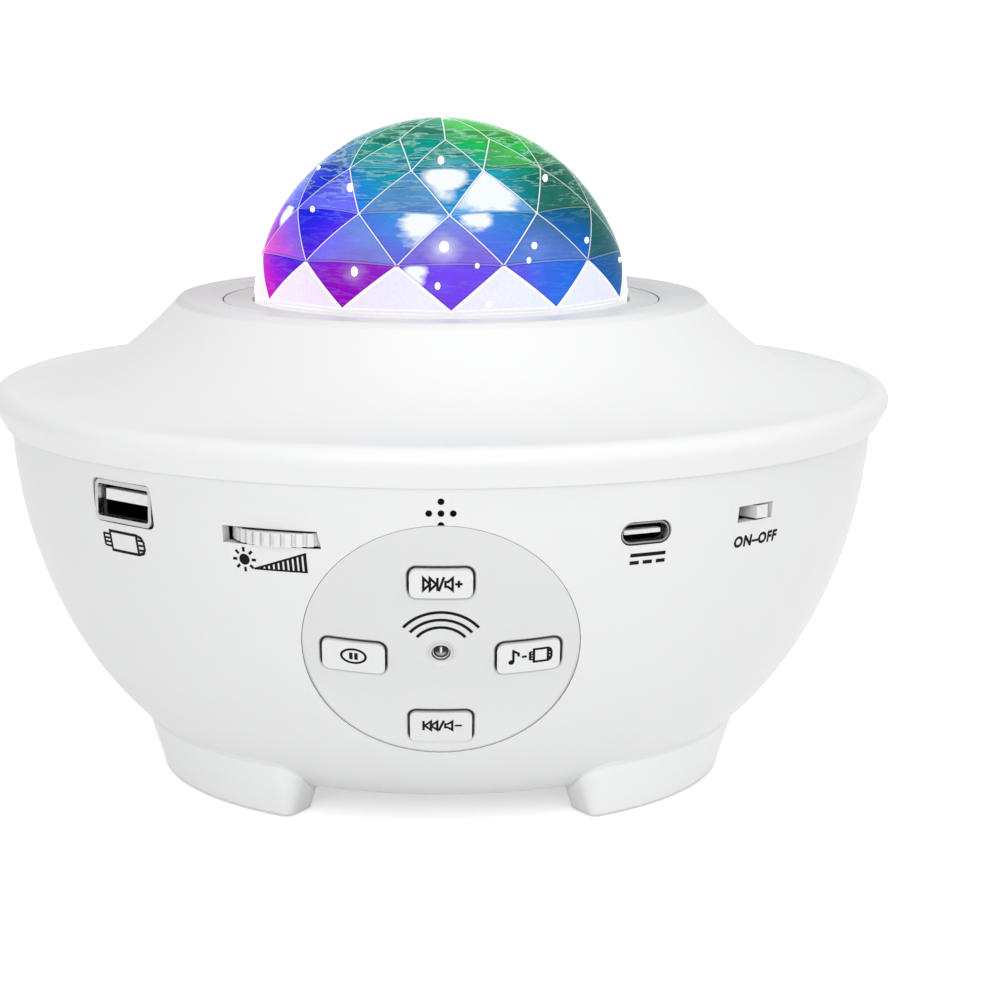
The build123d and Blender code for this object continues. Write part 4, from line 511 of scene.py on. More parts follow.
class PROJECTOR_OT_dome(bpy.types.Operator):
    """Cuts the dome's facets with bevelled edges and lights them in the lamps' colours"""
    bl_idname = "projector.dome"
    bl_label = "Lit dome"

    def execute(self, context):
        size = sizes()
        bm = bmesh.new()
        bm.from_mesh(NODES["dome_lens"].data)
        number = bm.faces.layers.int.new("facet")
        bmesh.ops.remove_doubles(bm, verts=bm.verts, dist=WELD)
        bmesh.ops.dissolve_limit(bm, angle_limit=radians(0.6), verts=bm.verts, edges=bm.edges)
        base = min(v.co.z for v in bm.verts)

        def faces_out(face):
            middle = face.calc_center_median()
            return face.normal.dot(Vector((middle.x, middle.y, middle.z - INSIDE_DOME))) > 0

        def facets_above(height):
            found = [face for face in bm.faces if face.calc_center_median().z > height]
            return [face for face in found if faces_out(face) and face.calc_area() > SMALLEST_FACET]

        facets = facets_above(base + SKIRT_TOP)
        if len(facets) < FEWEST_FACETS:
            raise RuntimeError("the dome has only %d facets" % len(facets))
        low = min(v.co.z for face in facets for v in face.verts)
        bmesh.ops.bisect_plane(
            bm, geom=[*bm.verts, *bm.edges, *bm.faces], dist=WELD, plane_co=(0, 0, low), plane_no=(0, 0, 1))
        facets = facets_above(low + 0.5 * MM)
        inner = set(facets)
        edges = [e for e in bm.edges if len(e.link_faces) == 2 and all(f in inner for f in e.link_faces)]
        for face in bm.faces:
            middle = face.calc_center_median()
            outside = hypot(middle.x, middle.y) > NECK_RADIUS and faces_out(face)
            face.material_index = SKIRT if outside and middle.z > base + FLANGE_TOP else FLANGE
        middles, rising = {}, set()
        for count, face in enumerate(facets, 1):
            at_base = [v for v in face.verts if v.co.z < low + 0.5 * MM]
            face.material_index = BASE_FACET if len(at_base) == 2 else FACET
            face[number] = count
            middles[count] = rounded(face.calc_center_median())
            heights = sorted(v.co.z for v in face.verts)
            if heights[-1] - heights[-2] > heights[1] - heights[0]:
                rising.add(count)
        result = bmesh.ops.bevel(
            bm, geom=edges, offset=size.facet_edge, offset_type="OFFSET", segments=1,
            affect="EDGES", clamp_overlap=True, material=EDGE)
        for face in result["faces"]:
            longest = max(face.edges, key=lambda e: e.calc_length())
            rise = abs(longest.verts[0].co.z - longest.verts[1].co.z) / longest.calc_length()
            face.material_index = EDGE if rise > 0.15 else LEVEL_EDGE
            face[number] = 0
            if any(near.material_index == BASE_FACET for e in face.edges for near in e.link_faces):
                face.material_index = BASE_EDGE
            if face.calc_center_median().z < low + 0.05 * MM:
                face.material_index = SKIRT
        cuts = ((FACET, size.facet_border, BORDER), (BASE_FACET, size.base_border, BASE_EDGE))
        for kind, width, rim in cuts:
            cut = [face for face in bm.faces if face.material_index == kind]
            borders = bmesh.ops.inset_individual(bm, faces=cut, thickness=width, use_even_offset=True)
            for face in borders["faces"]:
                face.material_index = rim
        skin = [face for face in bm.faces if face.material_index in SKIN]
        long = {e for face in skin for e in face.edges if e.calc_length() > LONGEST_EDGE}
        bmesh.ops.subdivide_edges(bm, edges=list(long), cuts=6, use_grid_fill=True)
        for face in bm.faces:
            face.smooth = face.material_index in SKIN
        for vert in {v for face in bm.faces if face.smooth for v in face.verts}:
            vert.co = rounded(vert.co)
        self.light(bm, number, middles, rising)
        materials = (
            lit_facet("dome_facets_lit", 1.0, 0.0, 0.08, 0.85),
            lit_facet("dome_base_facets_lit", 1.10, 0.75, 0.0, 0.0, 0.0, 0.05),
            lit_facet("dome_edges_lit", 1.25, 0.62, 0.0, 0.1, 0.6),
            lit_facet("dome_level_edges_lit", 1.0, 0.16, 0.0, 0.3, 0.8),
            lit_facet("dome_base_edges_lit", 1.0, 0.97, 0.0, 0.0, 0.0, 0.02),
            lit_facet("dome_borders_lit", 0.62, 0.0, 0.0, 0.3, 0.6),
            lit_facet("dome_skirt_lit", 0.92, 0.93, 0.0, 0.0, 0.0, 0.04),
            clear_plastic("dome_flange_clear", (0.90, 0.93, 0.97)),
        )
        piece = add_piece("dome_facets", bm, "housing", materials, None)
        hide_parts("dome_lens")
        return {"FINISHED"}

    def light(self, bm, number, middles, rising):
        """Stores the lamps' colour and the painted reflections on the corners of every face.

        Each facet bends the light its own way, so its colours shift a little against its
        neighbours', and a facet that stands on its broad side shows them paler.
        """
        picker = random.Random(11)
        pools = [(on_dome(a, e), s, Vector(c)) for a, e, s, c in LAMPS]
        gains = {count: picker.uniform(0.84, 1.14) for count in middles}
        bends = {count: Vector([picker.uniform(-3.4, 3.4) * MM for _ in range(3)]) for count in middles}
        reflections = {}
        coloured = {face[number] for face in bm.faces if face.material_index == FACET}
        # Each painted reflection goes on the coloured facet nearest its place.
        for azimuth, elevation, reach in PAINTED_REFLECTIONS:
            place = on_dome(azimuth, elevation)
            nearest = min(coloured, key=lambda count: (middles[count] - place).length)
            reflections.setdefault(nearest, []).append((place, reach * MM))
        stars = [
            (star_place(azimuth, height), 1.9 * share * MM, max(0.0, share - 1.05))
            for azimuth, height, share in STAR_SPOTS]
        light = bm.loops.layers.float_color.new("lamp_colour")
        reflection = bm.loops.layers.float.new("painted_reflection")
        glow = bm.loops.layers.float.new("star_glow")
        for face in bm.faces:
            count = face[number]
            gain = gains.get(count, 1.0)
            pale = 0.12 if count in rising else 0.0
            for loop in face.loops:
                corner = loop.vert.co
                spot = corner.lerp(middles[count], 0.35) + bends[count] if count else corner
                colour = lamp_light(spot, pools) * gain
                colour = colour.lerp(Vector((1, 1, 1)), min(1.0, pale * max(colour)))
                loop[light] = (*colour, 1.0)
                # Painted reflection: strongest at its place, fading out over its reach.
                loop[reflection] = max(
                    [1 - (corner - place).length / reach for place, reach in reflections.get(count, ())] + [0.0])
                loop[glow] = max(
                    max(0.0, 1 - (corner - place).length / reach) ** 1.5 * strength
                    for place, reach, strength in stars)


def star_place(azimuth, height):
    """Where a star spot sits on the dome's round form."""
    size = sizes()
    rise = asin(min(1.0, (height * MM - size.dome_middle) / size.dome_rise))
    return on_dome(azimuth, degrees(rise))


class PROJECTOR_OT_star_spots(bpy.types.Operator):
    """Sets the bright laser star spots on the dome's facets"""
    bl_idname = "projector.star_spots"
    bl_label = "Star spots"

    def execute(self, context):
        dome = surface_of("dome_lens")
        picker = random.Random(5)
        spots = list(STAR_SPOTS)
        for number in range(18):
            azimuth = 100 + number * 9.4 + picker.uniform(-4, 4)
            spots.append((azimuth, picker.uniform(90, 115), picker.uniform(0.8, 1.5)))
        bm = bmesh.new()
        for azimuth, height, share in spots:
            turn = radians(azimuth)
            start = Vector((sin(turn) * 0.08, -cos(turn) * 0.08, height * MM))
            heading = Vector((-sin(turn), cos(turn), 0))
            place = dome.ray_cast(start, heading)[0]
            if place is None:
                raise RuntimeError("a star spot misses the dome")
            place = rounded(place)
            normal = (place - UP * sizes().dome_middle).normalized()
            made = bmesh.ops.create_uvsphere(bm, u_segments=14, v_segments=8, radius=0.5)
            depth = copysign(max(0.4, abs(normal.y)), normal.y)
            across, upright = Vector((1, -normal.x / depth, 0)), Vector((0, -normal.z / depth, 1))
            wide = sizes().star_size * share
            tall = wide * picker.uniform(1.0, 1.2)
            sides = (across * wide * 0.86, upright * tall, normal * 0.2 * MM)
            for vert in made["verts"]:
                vert.co = place + sum((way * share for way, share in zip(sides, vert.co)), Vector())
        f = Finish("star_light")
        twinkle = f.noise(700, 3.0, 0.5)
        glow = f.blend_colours(twinkle, (0.86, 0.97, 1.0, 1.0), WHITE)
        f.surface(Base_Color=(0.9, 0.95, 1.0, 1.0), Roughness=f.span(twinkle, 0.2, 0.4),
                  Emission_Color=glow, Emission_Strength=1.0)
        add_piece("star_spots", bm, "housing", (f.material,), True)
        return {"FINISHED"}


# ---- printed symbols
class Print:
    """Flat artwork in millimetres, x to the right and y up, cut into small faces."""

    def __init__(self):
        self.bm = bmesh.new()
        self.line = sizes().ink_line / MM

    def area(self, points):
        self.bm.faces.new([self.bm.verts.new((x, y, 0)) for x, y in points])

    def dot(self, x, y, radius, count=16):
        self.area([(x + radius * cos(2 * pi * k / count),
                    y + radius * sin(2 * pi * k / count)) for k in range(count)])

    def stroke(self, points, width=None, closed=False):
        """A line of even width with mitred corners."""
        half = (width or self.line) / 2
        points = [Vector(p) for p in points]
        count = len(points)
        sides = []
        for k, point in enumerate(points):
            before = points[k - 1] if (k or closed) else None
            after = points[(k + 1) % count] if (k < count - 1 or closed) else None
            ends = ((before, point), (point, after))
            ways = [(b - a).normalized() for a, b in ends if a is not None and b is not None]
            way = sum(ways, Vector((0, 0))).normalized()
            across = Vector((-way.y, way.x))
            reach = half / max(0.35, abs(across.dot(Vector((-ways[0].y, ways[0].x)))))
            sides.append((point + across * reach, point - across * reach))
        for k in range(count if closed else count - 1):
            (a, b), (c, d) = sides[k], sides[(k + 1) % count]
            self.area([a, b, d, c])

    def ring(self, x, y, wide, tall, count=40):
        turns = [2 * pi * k / count for k in range(count)]
        self.stroke([(x + wide / 2 * cos(t), y + tall / 2 * sin(t)) for t in turns], closed=True)

    def letters(self, text, wide, tall):
        """Plain lettering, stretched to a width and a height about the middle."""
        curve = bpy.data.curves.new("lettering", "FONT")
        curve.body = text
        curve.offset = 0.045
        curve.space_character = 1.12
        curve.resolution_u = 3
        holder = bpy.data.objects.new("lettering", curve)
        bpy.context.scene.collection.objects.link(holder)
        bpy.context.view_layer.update()
        mesh = bpy.data.meshes.new_from_object(holder)
        bpy.data.objects.remove(holder)
        old = len(self.bm.verts)
        self.bm.from_mesh(mesh)
        self.bm.verts.ensure_lookup_table()
        for axis, side in ((0, wide), (1, tall)):
            values = [v.co[axis] for v in mesh.vertices]
            low, high = min(values), max(values)
            for vert in self.bm.verts[old:]:
                vert.co[axis] = ((vert.co[axis] - low) / (high - low) - 0.5) * side
        bpy.data.meshes.remove(mesh)

    def lay(self, name, node, body, origin, across, up):
        """Lays the artwork on a node: each corner drops onto the surface, and gets its thickness."""
        bm = self.bm
        bmesh.ops.triangulate(bm, faces=bm.faces)
        for _ in range(3):
            long = [e for e in bm.edges if e.calc_length() > 1.2]
            if not long:
                break
            bmesh.ops.subdivide_edges(bm, edges=long, cuts=1)
            bmesh.ops.triangulate(bm, faces=bm.faces)
        outward = across.cross(up).normalized()
        target = surface_of(node)
        lift = sizes().ink_depth
        for vert in bm.verts:
            start = origin + across * vert.co.x * MM + up * vert.co.y * MM + outward * 12 * MM
            place = target.ray_cast(start, -outward)[0]
            if place is None:
                raise RuntimeError(name + " runs off " + node)
            vert.co = place + outward * lift
        bmesh.ops.recalc_face_normals(bm, faces=bm.faces)
        if sum((f.normal * f.calc_area() for f in bm.faces), Vector()).dot(outward) < 0:
            bmesh.ops.reverse_faces(bm, faces=bm.faces)
        piece = add_piece(name, bm, body, (ink(),))
        depth = piece.modifiers.new("ink_thickness", "SOLIDIFY")
        depth.thickness = lift * 0.9
        depth.offset = -1


def key_face(key):
    low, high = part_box(key)
    return (low + high) / 2


def panel_axes():
    droop = radians(PANEL_DROOP)
    return RIGHT, Vector((0, -sin(droop), cos(droop)))


def speaker_symbol(p, x, way):
    """A small loudspeaker, with its horn to the right, and a plus or a minus."""
    p.stroke(
        [(x, -0.42), (x + 0.42, -0.42), (x + 1.15, -1.05), (x + 1.15, 1.05), (x + 0.42, 0.42), (x, 0.42)],
        closed=True)
    p.stroke([(x + 1.55, 0), (x + 2.75, 0)])
    if way > 0:
        p.stroke([(x + 2.15, -0.6), (x + 2.15, 0.6)])


def skip_symbol(p, x, way):
    """Two hollow arrowheads and a bar."""
    for start in (0.0, 1.05):
        a = x + way * start
        p.stroke([(a, -1.05), (a, 1.05), (a + way * 1.05, 0.0)], closed=True)
    p.stroke([(x + way * 2.28, -1.15), (x + way * 2.28, 1.15)])


def stick_symbol(p, x, wide, tall):
    """A memory stick from x onwards: striped plug, body and ribbed round end."""
    plug, rib = wide * 0.18, wide * 0.16
    half = tall / 2
    left, right = x + plug, x + wide
    p.stroke([
        (left, -half), (right - rib, -half), (right - rib * 0.3, -half * 0.8), (right, -half * 0.35),
        (right, half * 0.35), (right - rib * 0.3, half * 0.8), (right - rib, half), (left, half),
    ], closed=True)
    p.stroke([(right - rib, -half), (right - rib, half)])
    for share in (-0.5, 0.0, 0.5):
        p.stroke([(right - rib * 0.8, half * share), (right - rib * 0.2, half * share)], width=p.line * 0.8)
    p.stroke([(x, -half * 0.66), (x, half * 0.66)])
    for share in (-0.62, -0.2, 0.2, 0.62):
        p.stroke([(x, half * share), (left, half * share)], width=p.line * 0.75)


def note_symbol(p, x, tall):
    """A music note with its flag, and a dash after it."""
    half = tall / 2
    p.dot(x + 0.42, -half + 0.36, 0.46)
    p.stroke([(x + 0.76, -half + 0.36), (x + 0.76, half), (x + 1.6, half - 0.55), (x + 1.62, half - 1.15)])
    p.stroke([(x + 2.15, 0), (x + 2.95, 0)])


class PROJECTOR_OT_key_symbols(bpy.types.Operator):
    """Prints the skip, pause, mode and volume symbols on the four keys"""
    bl_idname = "projector.key_symbols"
    bl_label = "Key symbols"

    def lay_on_key(self, p, key):
        p.lay(key.replace("button", "symbols"), key, key, key_face(key), *panel_axes())

    def execute(self, context):
        for key, start, way in (("next_button", -2.85, 1), ("previous_button", -0.62, -1)):
            p = Print()
            skip_symbol(p, start, way)
            p.stroke([(-0.36, -1.2), (0.48, 1.25)])
            speaker_symbol(p, 0.72, way)
            self.lay_on_key(p, key)

        p = Print()
        p.ring(0, 0, 4.0, 2.7)
        for x in (-0.42, 0.42):
            p.stroke([(x, -0.66), (x, 0.66)], width=0.56)
        self.lay_on_key(p, "pause_button")

        p = Print()
        stick_symbol(p, 0.25, 3.5, 2.5)
        note_symbol(p, -3.25, 2.6)
        self.lay_on_key(p, "mode_button")
        return {"FINISHED"}


class PROJECTOR_OT_side_symbols(bpy.types.Operator):
    """Prints the symbols under the sockets, the wheel and the switch, and round the receiver"""
    bl_idname = "projector.side_symbols"
    bl_label = "Symbols on the bowl and panel"

    def lay_on_bowl(self, p, name):
        azimuth, height = SYMBOL_PLACES[name]
        turn = radians(azimuth)
        outward = Vector((sin(turn), -cos(turn), 0))
        origin = outward * 78 * MM + UP * (height * MM)
        p.lay(name, "bowl_housing", "housing", origin, UP.cross(outward), UP)

    def execute(self, context):
        p = Print()
        p.line = 0.5
        stick_symbol(p, -5.0, 10.1, 3.4)
        self.lay_on_bowl(p, "memory_stick_symbol")

        p = Print()
        p.dot(0, 0, 0.95, 24)
        for k in range(8):
            turn = pi / 4 * k
            way = Vector((cos(turn), sin(turn)))
            p.stroke([way * 1.32, way * 2.1], width=0.46)
        self.lay_on_bowl(p, "brightness_sun")

        p = Print()
        wide, tall, bars = 9.4, 3.3, 11
        p.stroke([(0, 0.14), (wide, 0.14)], width=0.3)
        p.stroke([(0, 0.08), (wide, tall)], width=0.34)
        for k in range(1, bars + 1):
            x = wide * k / bars - 0.27
            p.stroke([(x, 0.0), (x, tall * x / wide)], width=0.53)
        self.lay_on_bowl(p, "brightness_wedge")

        p = Print()
        p.stroke([(-3.3, 0.6), (3.3, 0.6)], width=0.62)
        for x in (-2.45, 0.0, 2.45):
            p.stroke([(x - 0.85, -0.7), (x + 0.85, -0.7)], width=0.62)
        self.lay_on_bowl(p, "direct_current_symbol")

        p = Print()
        p.letters("ON\u2013OFF", 10.8, 2.05)
        self.lay_on_bowl(p, "on_off_letters")

        p = Print()
        for radius in (5.0, 6.4, 7.8):
            p.stroke([(radius * sin(radians(t)), radius * cos(radians(t)))
                      for t in range(-52, 53, 4)], width=0.5)
        p.lay("receiver_waves", "control_panel", "housing", key_face("ir_window"), *panel_axes())
        return {"FINISHED"}


# ---- mouldings, keys and ports
def neck_painted_shade(f):
    """Painted shade: the neck's flat top and the ring in it are darkened at the sides and the back."""
    low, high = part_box("dome_ring")
    flat = f.span(f.along(UP * high.z, UP), 0, 1, -0.45, 0)
    side = f.span(f.along(Vector(), Vector((0, -1, 0))), 0.27, 0.05, 0, 38.0)
    return f.minus(1, f.times(flat, side))


def sound_holes(f):
    """1 inside the microphone's holes, 0 elsewhere: where painted shade goes."""
    low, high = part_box("microphone")
    middle = (low + high) / 2
    place, normal = surface_of("bowl_housing").ray_cast(
        Vector((0.98 * MM, -0.12, middle.z + 0.98 * MM)), Vector((0, 1, 0)))[:2]
    depth = f.along(place, -normal)
    beside, above = f.along(middle, RIGHT), f.along(middle, UP)
    row = f.times(f.band(beside, -2.8, 2.8), f.band(above, -0.9, 0.9))
    column = f.times(f.band(beside, -0.8, 0.8), f.band(above, -2.8, 2.8))
    return f.times(f.times(f.band(depth, 0.25, 6.0, 0.1), f.larger(row, column)), 0.98)


def bowl_painted_light(f):
    """Painted light lifting the feet paler, and painted shade darkening the insides of the microphone's
    holes.
    """
    height = f.along(Vector(), UP)
    past_bowl = f.minus(f.from_axis(), f.plus(f.times(height, 1.48), 40.4))
    # Painted light: the feet are lifted paler than the bowl.
    foot = f.times(f.span(past_bowl, 0, 0.09, 0.2, 0.5), f.span(height, 1, 0, 10.2, 10.6))
    # Painted shade: the insides of the holes are darkened.
    return f.minus(f.plus(1, foot), sound_holes(f))


def on_panel(f, middle):
    """How far a point of the surface lies right of a place on the panel, above it and from it."""
    right, rise = [f.along(middle, way) for way in panel_axes()]
    return right, rise, f.reach(right, rise)


def panel_middle():
    low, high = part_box("control_panel")
    return (low + high) / 2


def panel_top_gap(f):
    """1 at the upper part of the gap round the panel, which stays pale."""
    right, rise, reach = on_panel(f, panel_middle())
    gap = f.band(reach, PANEL_RADIUS - 0.9, PANEL_RADIUS + 3.5, 0.3)
    return f.times(gap, f.span(rise, 0, 0.9, -12.0, 4.0))


def key_recesses(f):
    """The shadow line in the panel's plastic round each key's opening, fainter at the key's foot."""
    dark = 0.0
    for key, tall in KEY_OPENINGS:
        middle = Vector()
        for way in panel_axes():
            span = [way.dot(v.co) for v in NODES[key].data.vertices]
            middle += way * (min(span) + max(span)) / 2
        beside, above = [f.along(middle, way) for way in panel_axes()]
        past_middle = [
            f.larger(f.minus(f.calculate("ABSOLUTE", way), side / 2 - KEY_OPENING_CORNER), 0)
            for way, side in ((beside, KEY_OPENING_WIDE), (above, tall))]
        outside = f.minus(f.reach(*past_middle), KEY_OPENING_CORNER)
        past_edge = f.minus(outside, f.span(above, 0.34, 0.10, -tall / 2, 1 - tall / 2))
        depth = f.span(above, 0.34, 0.92, 0.2 - tall / 2, 2.0 - tall / 2)
        dark = f.larger(dark, f.times(f.span(past_edge, 1, 0, 0, 0.18), depth))
    return dark


def panel_painted_light(f):
    """Painted light on the panel's foot, painted shade on its lower rim, round the keys and in the sound
    holes, and the window's fine rings, shaded more above.
    """
    right, rise, reach = on_panel(f, panel_middle())
    # Painted light: the panel's lower part is lifted paler.
    foot = f.span(rise, 0.09, 0, -18.0, -3.0)
    # Painted shade along the panel's rim, stronger low down.
    edge = f.span(reach, 0, 0.5, PANEL_RADIUS - 0.2, PANEL_RADIUS + 0.2)
    rim = f.times(edge, f.span(rise, 1, 0, -9.0, 2.0))
    right, rise, reach = on_panel(f, key_face("ir_window"))
    # The window's fine rings, with painted shade stronger on their upper side.
    rings = f.plus(f.band(reach, 1.95, 2.12), f.times(f.band(reach, 2.38, 2.5), 0.7))
    dark = f.times(rings, f.span(rise, 0.05, 0.42, -2.0, 1.2))
    # Painted shade: the rim, the microphone's holes and the shadow lines round the keys.
    for other in (rim, sound_holes(f), key_recesses(f)):
        dark = f.larger(dark, other)
    return f.minus(f.plus(1, foot), dark)


def window_plastic():
    """Smoky window: a pale rim, black inside, and a painted glint standing in for a highlight on the
    receiver's lens.
    """
    f = Finish("window_plastic")
    right, rise, reach = on_panel(f, key_face("ir_window"))
    smoke = f.noise(600, 3.0, 0.5)
    dark = f.blend_colours(smoke, (0.002, 0.002, 0.003, 1), (0.010, 0.009, 0.012, 1))
    # Painted highlight: a pale column and a fainter lower crescent, the glint on the receiver's lens.
    column = f.times(f.band(right, -0.16, 0.16, 0.09), f.band(rise, -0.35, 0.85, 0.14))
    bowl = f.times(f.band(reach, 0.35, 0.85, 0.16), f.span(rise, 1, 0, -0.35, 0.05))
    lens = f.blend_colours(f.larger(column, f.times(bowl, 0.4)), dark, (0.92, 0.93, 0.96, 1))
    rim = f.span(reach, 0, 1, 1.22, 1.30)
    f.surface(Base_Color=f.blend_colours(rim, lens, (0.86, 0.86, 0.87, 1)),
              Roughness=f.span(smoke, 0.08, 0.2), Specular_IOR_Level=0.3)
    return f.material


class PROJECTOR_OT_mouldings(bpy.types.Operator):
    """Finishes the bowl, the cover, the dome's ring, the panel, the base cover and the pads"""
    bl_idname = "projector.mouldings"
    bl_label = "Mouldings"

    def execute(self, context):
        c = colours()
        dress("bowl_housing", moulded_plastic(
            "bowl_plastic", c.shell, 0.36, gap_reach=1.0, painted_light=bowl_painted_light, pale_gaps=panel_top_gap))
        dress("top_cover", moulded_plastic("cover_plastic", c.cover, 0.40, painted_light=neck_painted_shade))
        dress("dome_ring", moulded_plastic("ring_plastic", c.ring, 0.42, gap_reach=0.8, painted_light=neck_painted_shade))
        dress("base_cover", moulded_plastic("base_plastic", c.shell, 0.52, 0.01, 1500))
        dress("control_panel", moulded_plastic(
            "panel_plastic", c.panel, 0.40, gap_reach=0.9, painted_light=panel_painted_light, pale_gaps=panel_top_gap))
        dress("foot_pads", rubber("pad_rubber", (0.55, 0.55, 0.56)))
        dress("chassis", moulded_plastic("chassis_plastic", (0.03, 0.03, 0.033), 0.5, 0.01, 1500, 0.3))
        return {"FINISHED"}


class PROJECTOR_OT_controls(bpy.types.Operator):
    """Finishes the keys, the receiver's window, the wheel, the switch and the microphone"""
    bl_idname = "projector.controls"
    bl_label = "Controls"

    def execute(self, context):
        c = colours()
        dress("next_button pause_button mode_button previous_button",
              moulded_plastic("key_plastic", c.keys, 0.36, gap_reach=1.3))
        dress("dimmer_wheel", moulded_plastic("wheel_plastic", c.keys, 0.34, gap_reach=0.8))
        dress("switch_knob", moulded_plastic("knob_plastic", c.keys, 0.42, 0.01, 1800))
        dress("dimmer_base switch_body tact_switches ir_receiver board_chips",
              moulded_plastic("black_plastic", (0.02, 0.02, 0.022), 0.45, 0.01, 1500, 0.3))
        dress("ir_window", window_plastic())
        # Near-black can: painted shade for the depth of the sound holes in front of it.
        dress("microphone", sheet_metal("microphone_painted_shade", (0.03, 0.03, 0.032), 0.5))
        return {"FINISHED"}


def socket_plating(name, mouth, inward, bright):
    """Drawn, plated sheet: its mouth's edge dimmed with painted shade to the socket's level, bright just
    inside, black further in with painted shade.
    """
    f = Finish(name)
    depth = f.along(mouth, inward)
    lines = f.noise(700, 4.0, 0.7, where=f.coordinates((1, 1, 6)))
    patches = f.noise(160, 3.0, 0.5)
    # Painted shade: the mouth's edge is dimmed to the socket's own level.
    face = f.blend_colours(patches, shade((0.62, 0.62, 0.64), bright), shade((0.8, 0.8, 0.82), bright))
    drawn = f.blend_colours(lines, (0.5, 0.5, 0.51, 1), (0.9, 0.9, 0.92, 1))
    # Painted shade: the plating darkens to black, and stops being metal, deeper into the socket.
    inside = f.darken(drawn, f.span(depth, 1, 0, 0.7, 2.1))
    f.surface(
        Base_Color=f.blend_colours(f.span(depth, 0, 1, 0.08, 0.3), face, inside),
        Metallic=f.span(depth, 1, 0, 1.2, 2.4),
        Roughness=f.span(lines, 0.16, 0.36),
        Specular_IOR_Level=0.2,
        Normal=f.grain(lines, 0.004 * MM))
    return f.material


def tongue_plastic(name, mouth, inward):
    """White moulding in front, darkened with painted shade to black down the socket's depth."""
    f = Finish(name)
    depth = f.along(mouth, inward)
    clouds = f.noise(500, 3.0, 0.5)
    front = f.blend_colours(clouds, grey(0.93), grey(0.97))
    # Painted shade: the white darkens to black with depth into the socket.
    f.surface(
        Base_Color=f.darken(front, f.span(depth, 1, 0.004, 1.7, 3.2)),
        Roughness=f.span(clouds, 0.4, 0.55), Specular_IOR_Level=0.2,
        Normal=f.grain(clouds, 0.004 * MM))
    return f.material


class PROJECTOR_OT_ports(bpy.types.Operator):
    """Finishes the two sockets: plated shells, tongues and insides darkened with painted shade"""
    bl_idname = "projector.ports"
    bl_label = "Sockets"

    def execute(self, context):
        for node, azimuth, bright in SOCKETS:
            turn = radians(azimuth)
            inward = Vector((-sin(turn), cos(turn), 0))
            shell = node + "_shell"
            mouth = min((v.co for v in NODES[shell].data.vertices), key=inward.dot).copy()
            dress(shell, socket_plating(node + "_plating", mouth, inward, bright))
            dress(node + "_tongue", tongue_plastic(node + "_tongue_plastic", mouth, inward))
        return {"FINISHED"}


class PROJECTOR_OT_screws(bpy.types.Operator):
    """Finishes the screws in bright zinc plating"""
    bl_idname = "projector.screws"
    bl_label = "Screws"

    def execute(self, context):
        dress(" ".join(name for name in NODES if name.endswith("_screws")),
              sheet_metal("zinc_plating", (0.62, 0.63, 0.65), 0.3, (1, 1, 1), 1200))
        return {"FINISHED"}


# ---- inside
class PROJECTOR_OT_boards(bpy.types.Operator):
    """Finishes the circuit boards, the motor, the gears, the lamp, the laser and the speaker"""
    bl_idname = "projector.inner_works"
    bl_label = "Inner works"

    def execute(self, context):
        dress("main_board button_board",
              circuit_board("green_board", (0.012, 0.16, 0.06), (0.05, 0.30, 0.12)))
        dress("led_board", circuit_board("white_board", (0.80, 0.80, 0.78), (0.66, 0.66, 0.64)))
        dress("led_emitters", clear_plastic("lamp_domes", (0.95, 0.93, 0.75), 0.1))
        dress("heat_sink", sheet_metal("cast_aluminium", (0.78, 0.79, 0.8), 0.45, (1, 1, 1), 500))
        dress("drive_motor motor_shaft wave_axle grating_axle",
              sheet_metal("motor_plating", (0.66, 0.67, 0.69), 0.3))
        dress("motor_pinion", moulded_plastic("gear_acetal", (0.84, 0.84, 0.82), 0.42))
        dress("wave_disc", clear_plastic("rippled_disc", (0.92, 0.95, 1.0)))
        dress("grating_wheel", clear_plastic("grating_disc", (0.85, 0.9, 1.0)))
        dress("laser_module", sheet_metal("laser_barrel", (0.75, 0.56, 0.22), 0.25))
        dress("laser_clamp speaker_basket",
              moulded_plastic("clamp_plastic", (0.025, 0.025, 0.028), 0.48, 0.01, 1500, 0.3))
        dress("speaker_cone", pressed_paper("cone_paper", (0.03, 0.03, 0.032)))
        dress("speaker_magnet", sheet_metal("magnet_plating", (0.34, 0.35, 0.37), 0.35))
        return {"FINISHED"}


# ---- stage
def softbox(name, place, target, wide, tall, power):
    lamp = bpy.data.lights.new(name, "AREA")
    lamp.shape = "RECTANGLE"
    lamp.size, lamp.size_y = wide, tall
    lamp.energy = power
    holder = bpy.data.objects.new(name, lamp)
    bpy.context.scene.collection.objects.link(holder)
    holder.visible_camera = False
    holder.location = place
    holder.rotation_euler = (Vector(target) - Vector(place)).to_track_quat("-Z", "Y").to_euler()


def floor_paper():
    """White paper that keeps its shadow: what is seen directly is lifted to the backdrop's white."""
    f = Finish("floor_paper")
    fibre = f.noise(300, 5.0, 0.6)
    paper = f.surface(
        Base_Color=f.blend_colours(fibre, grey(0.92), grey(0.94)),
        Roughness=0.9, Specular_IOR_Level=0.1)
    lift = f.add("Emission", {"Color": WHITE})
    f.join(f.times(f.seen_rays(), ROOM_LIGHT), lift.inputs["Strength"])
    both = f.add("AddShader")
    f.join(paper.outputs[0], both.inputs[0])
    f.join(lift.outputs[0], both.inputs[1])
    f.join(both.outputs[0], f.output.inputs["Surface"])
    return f.material


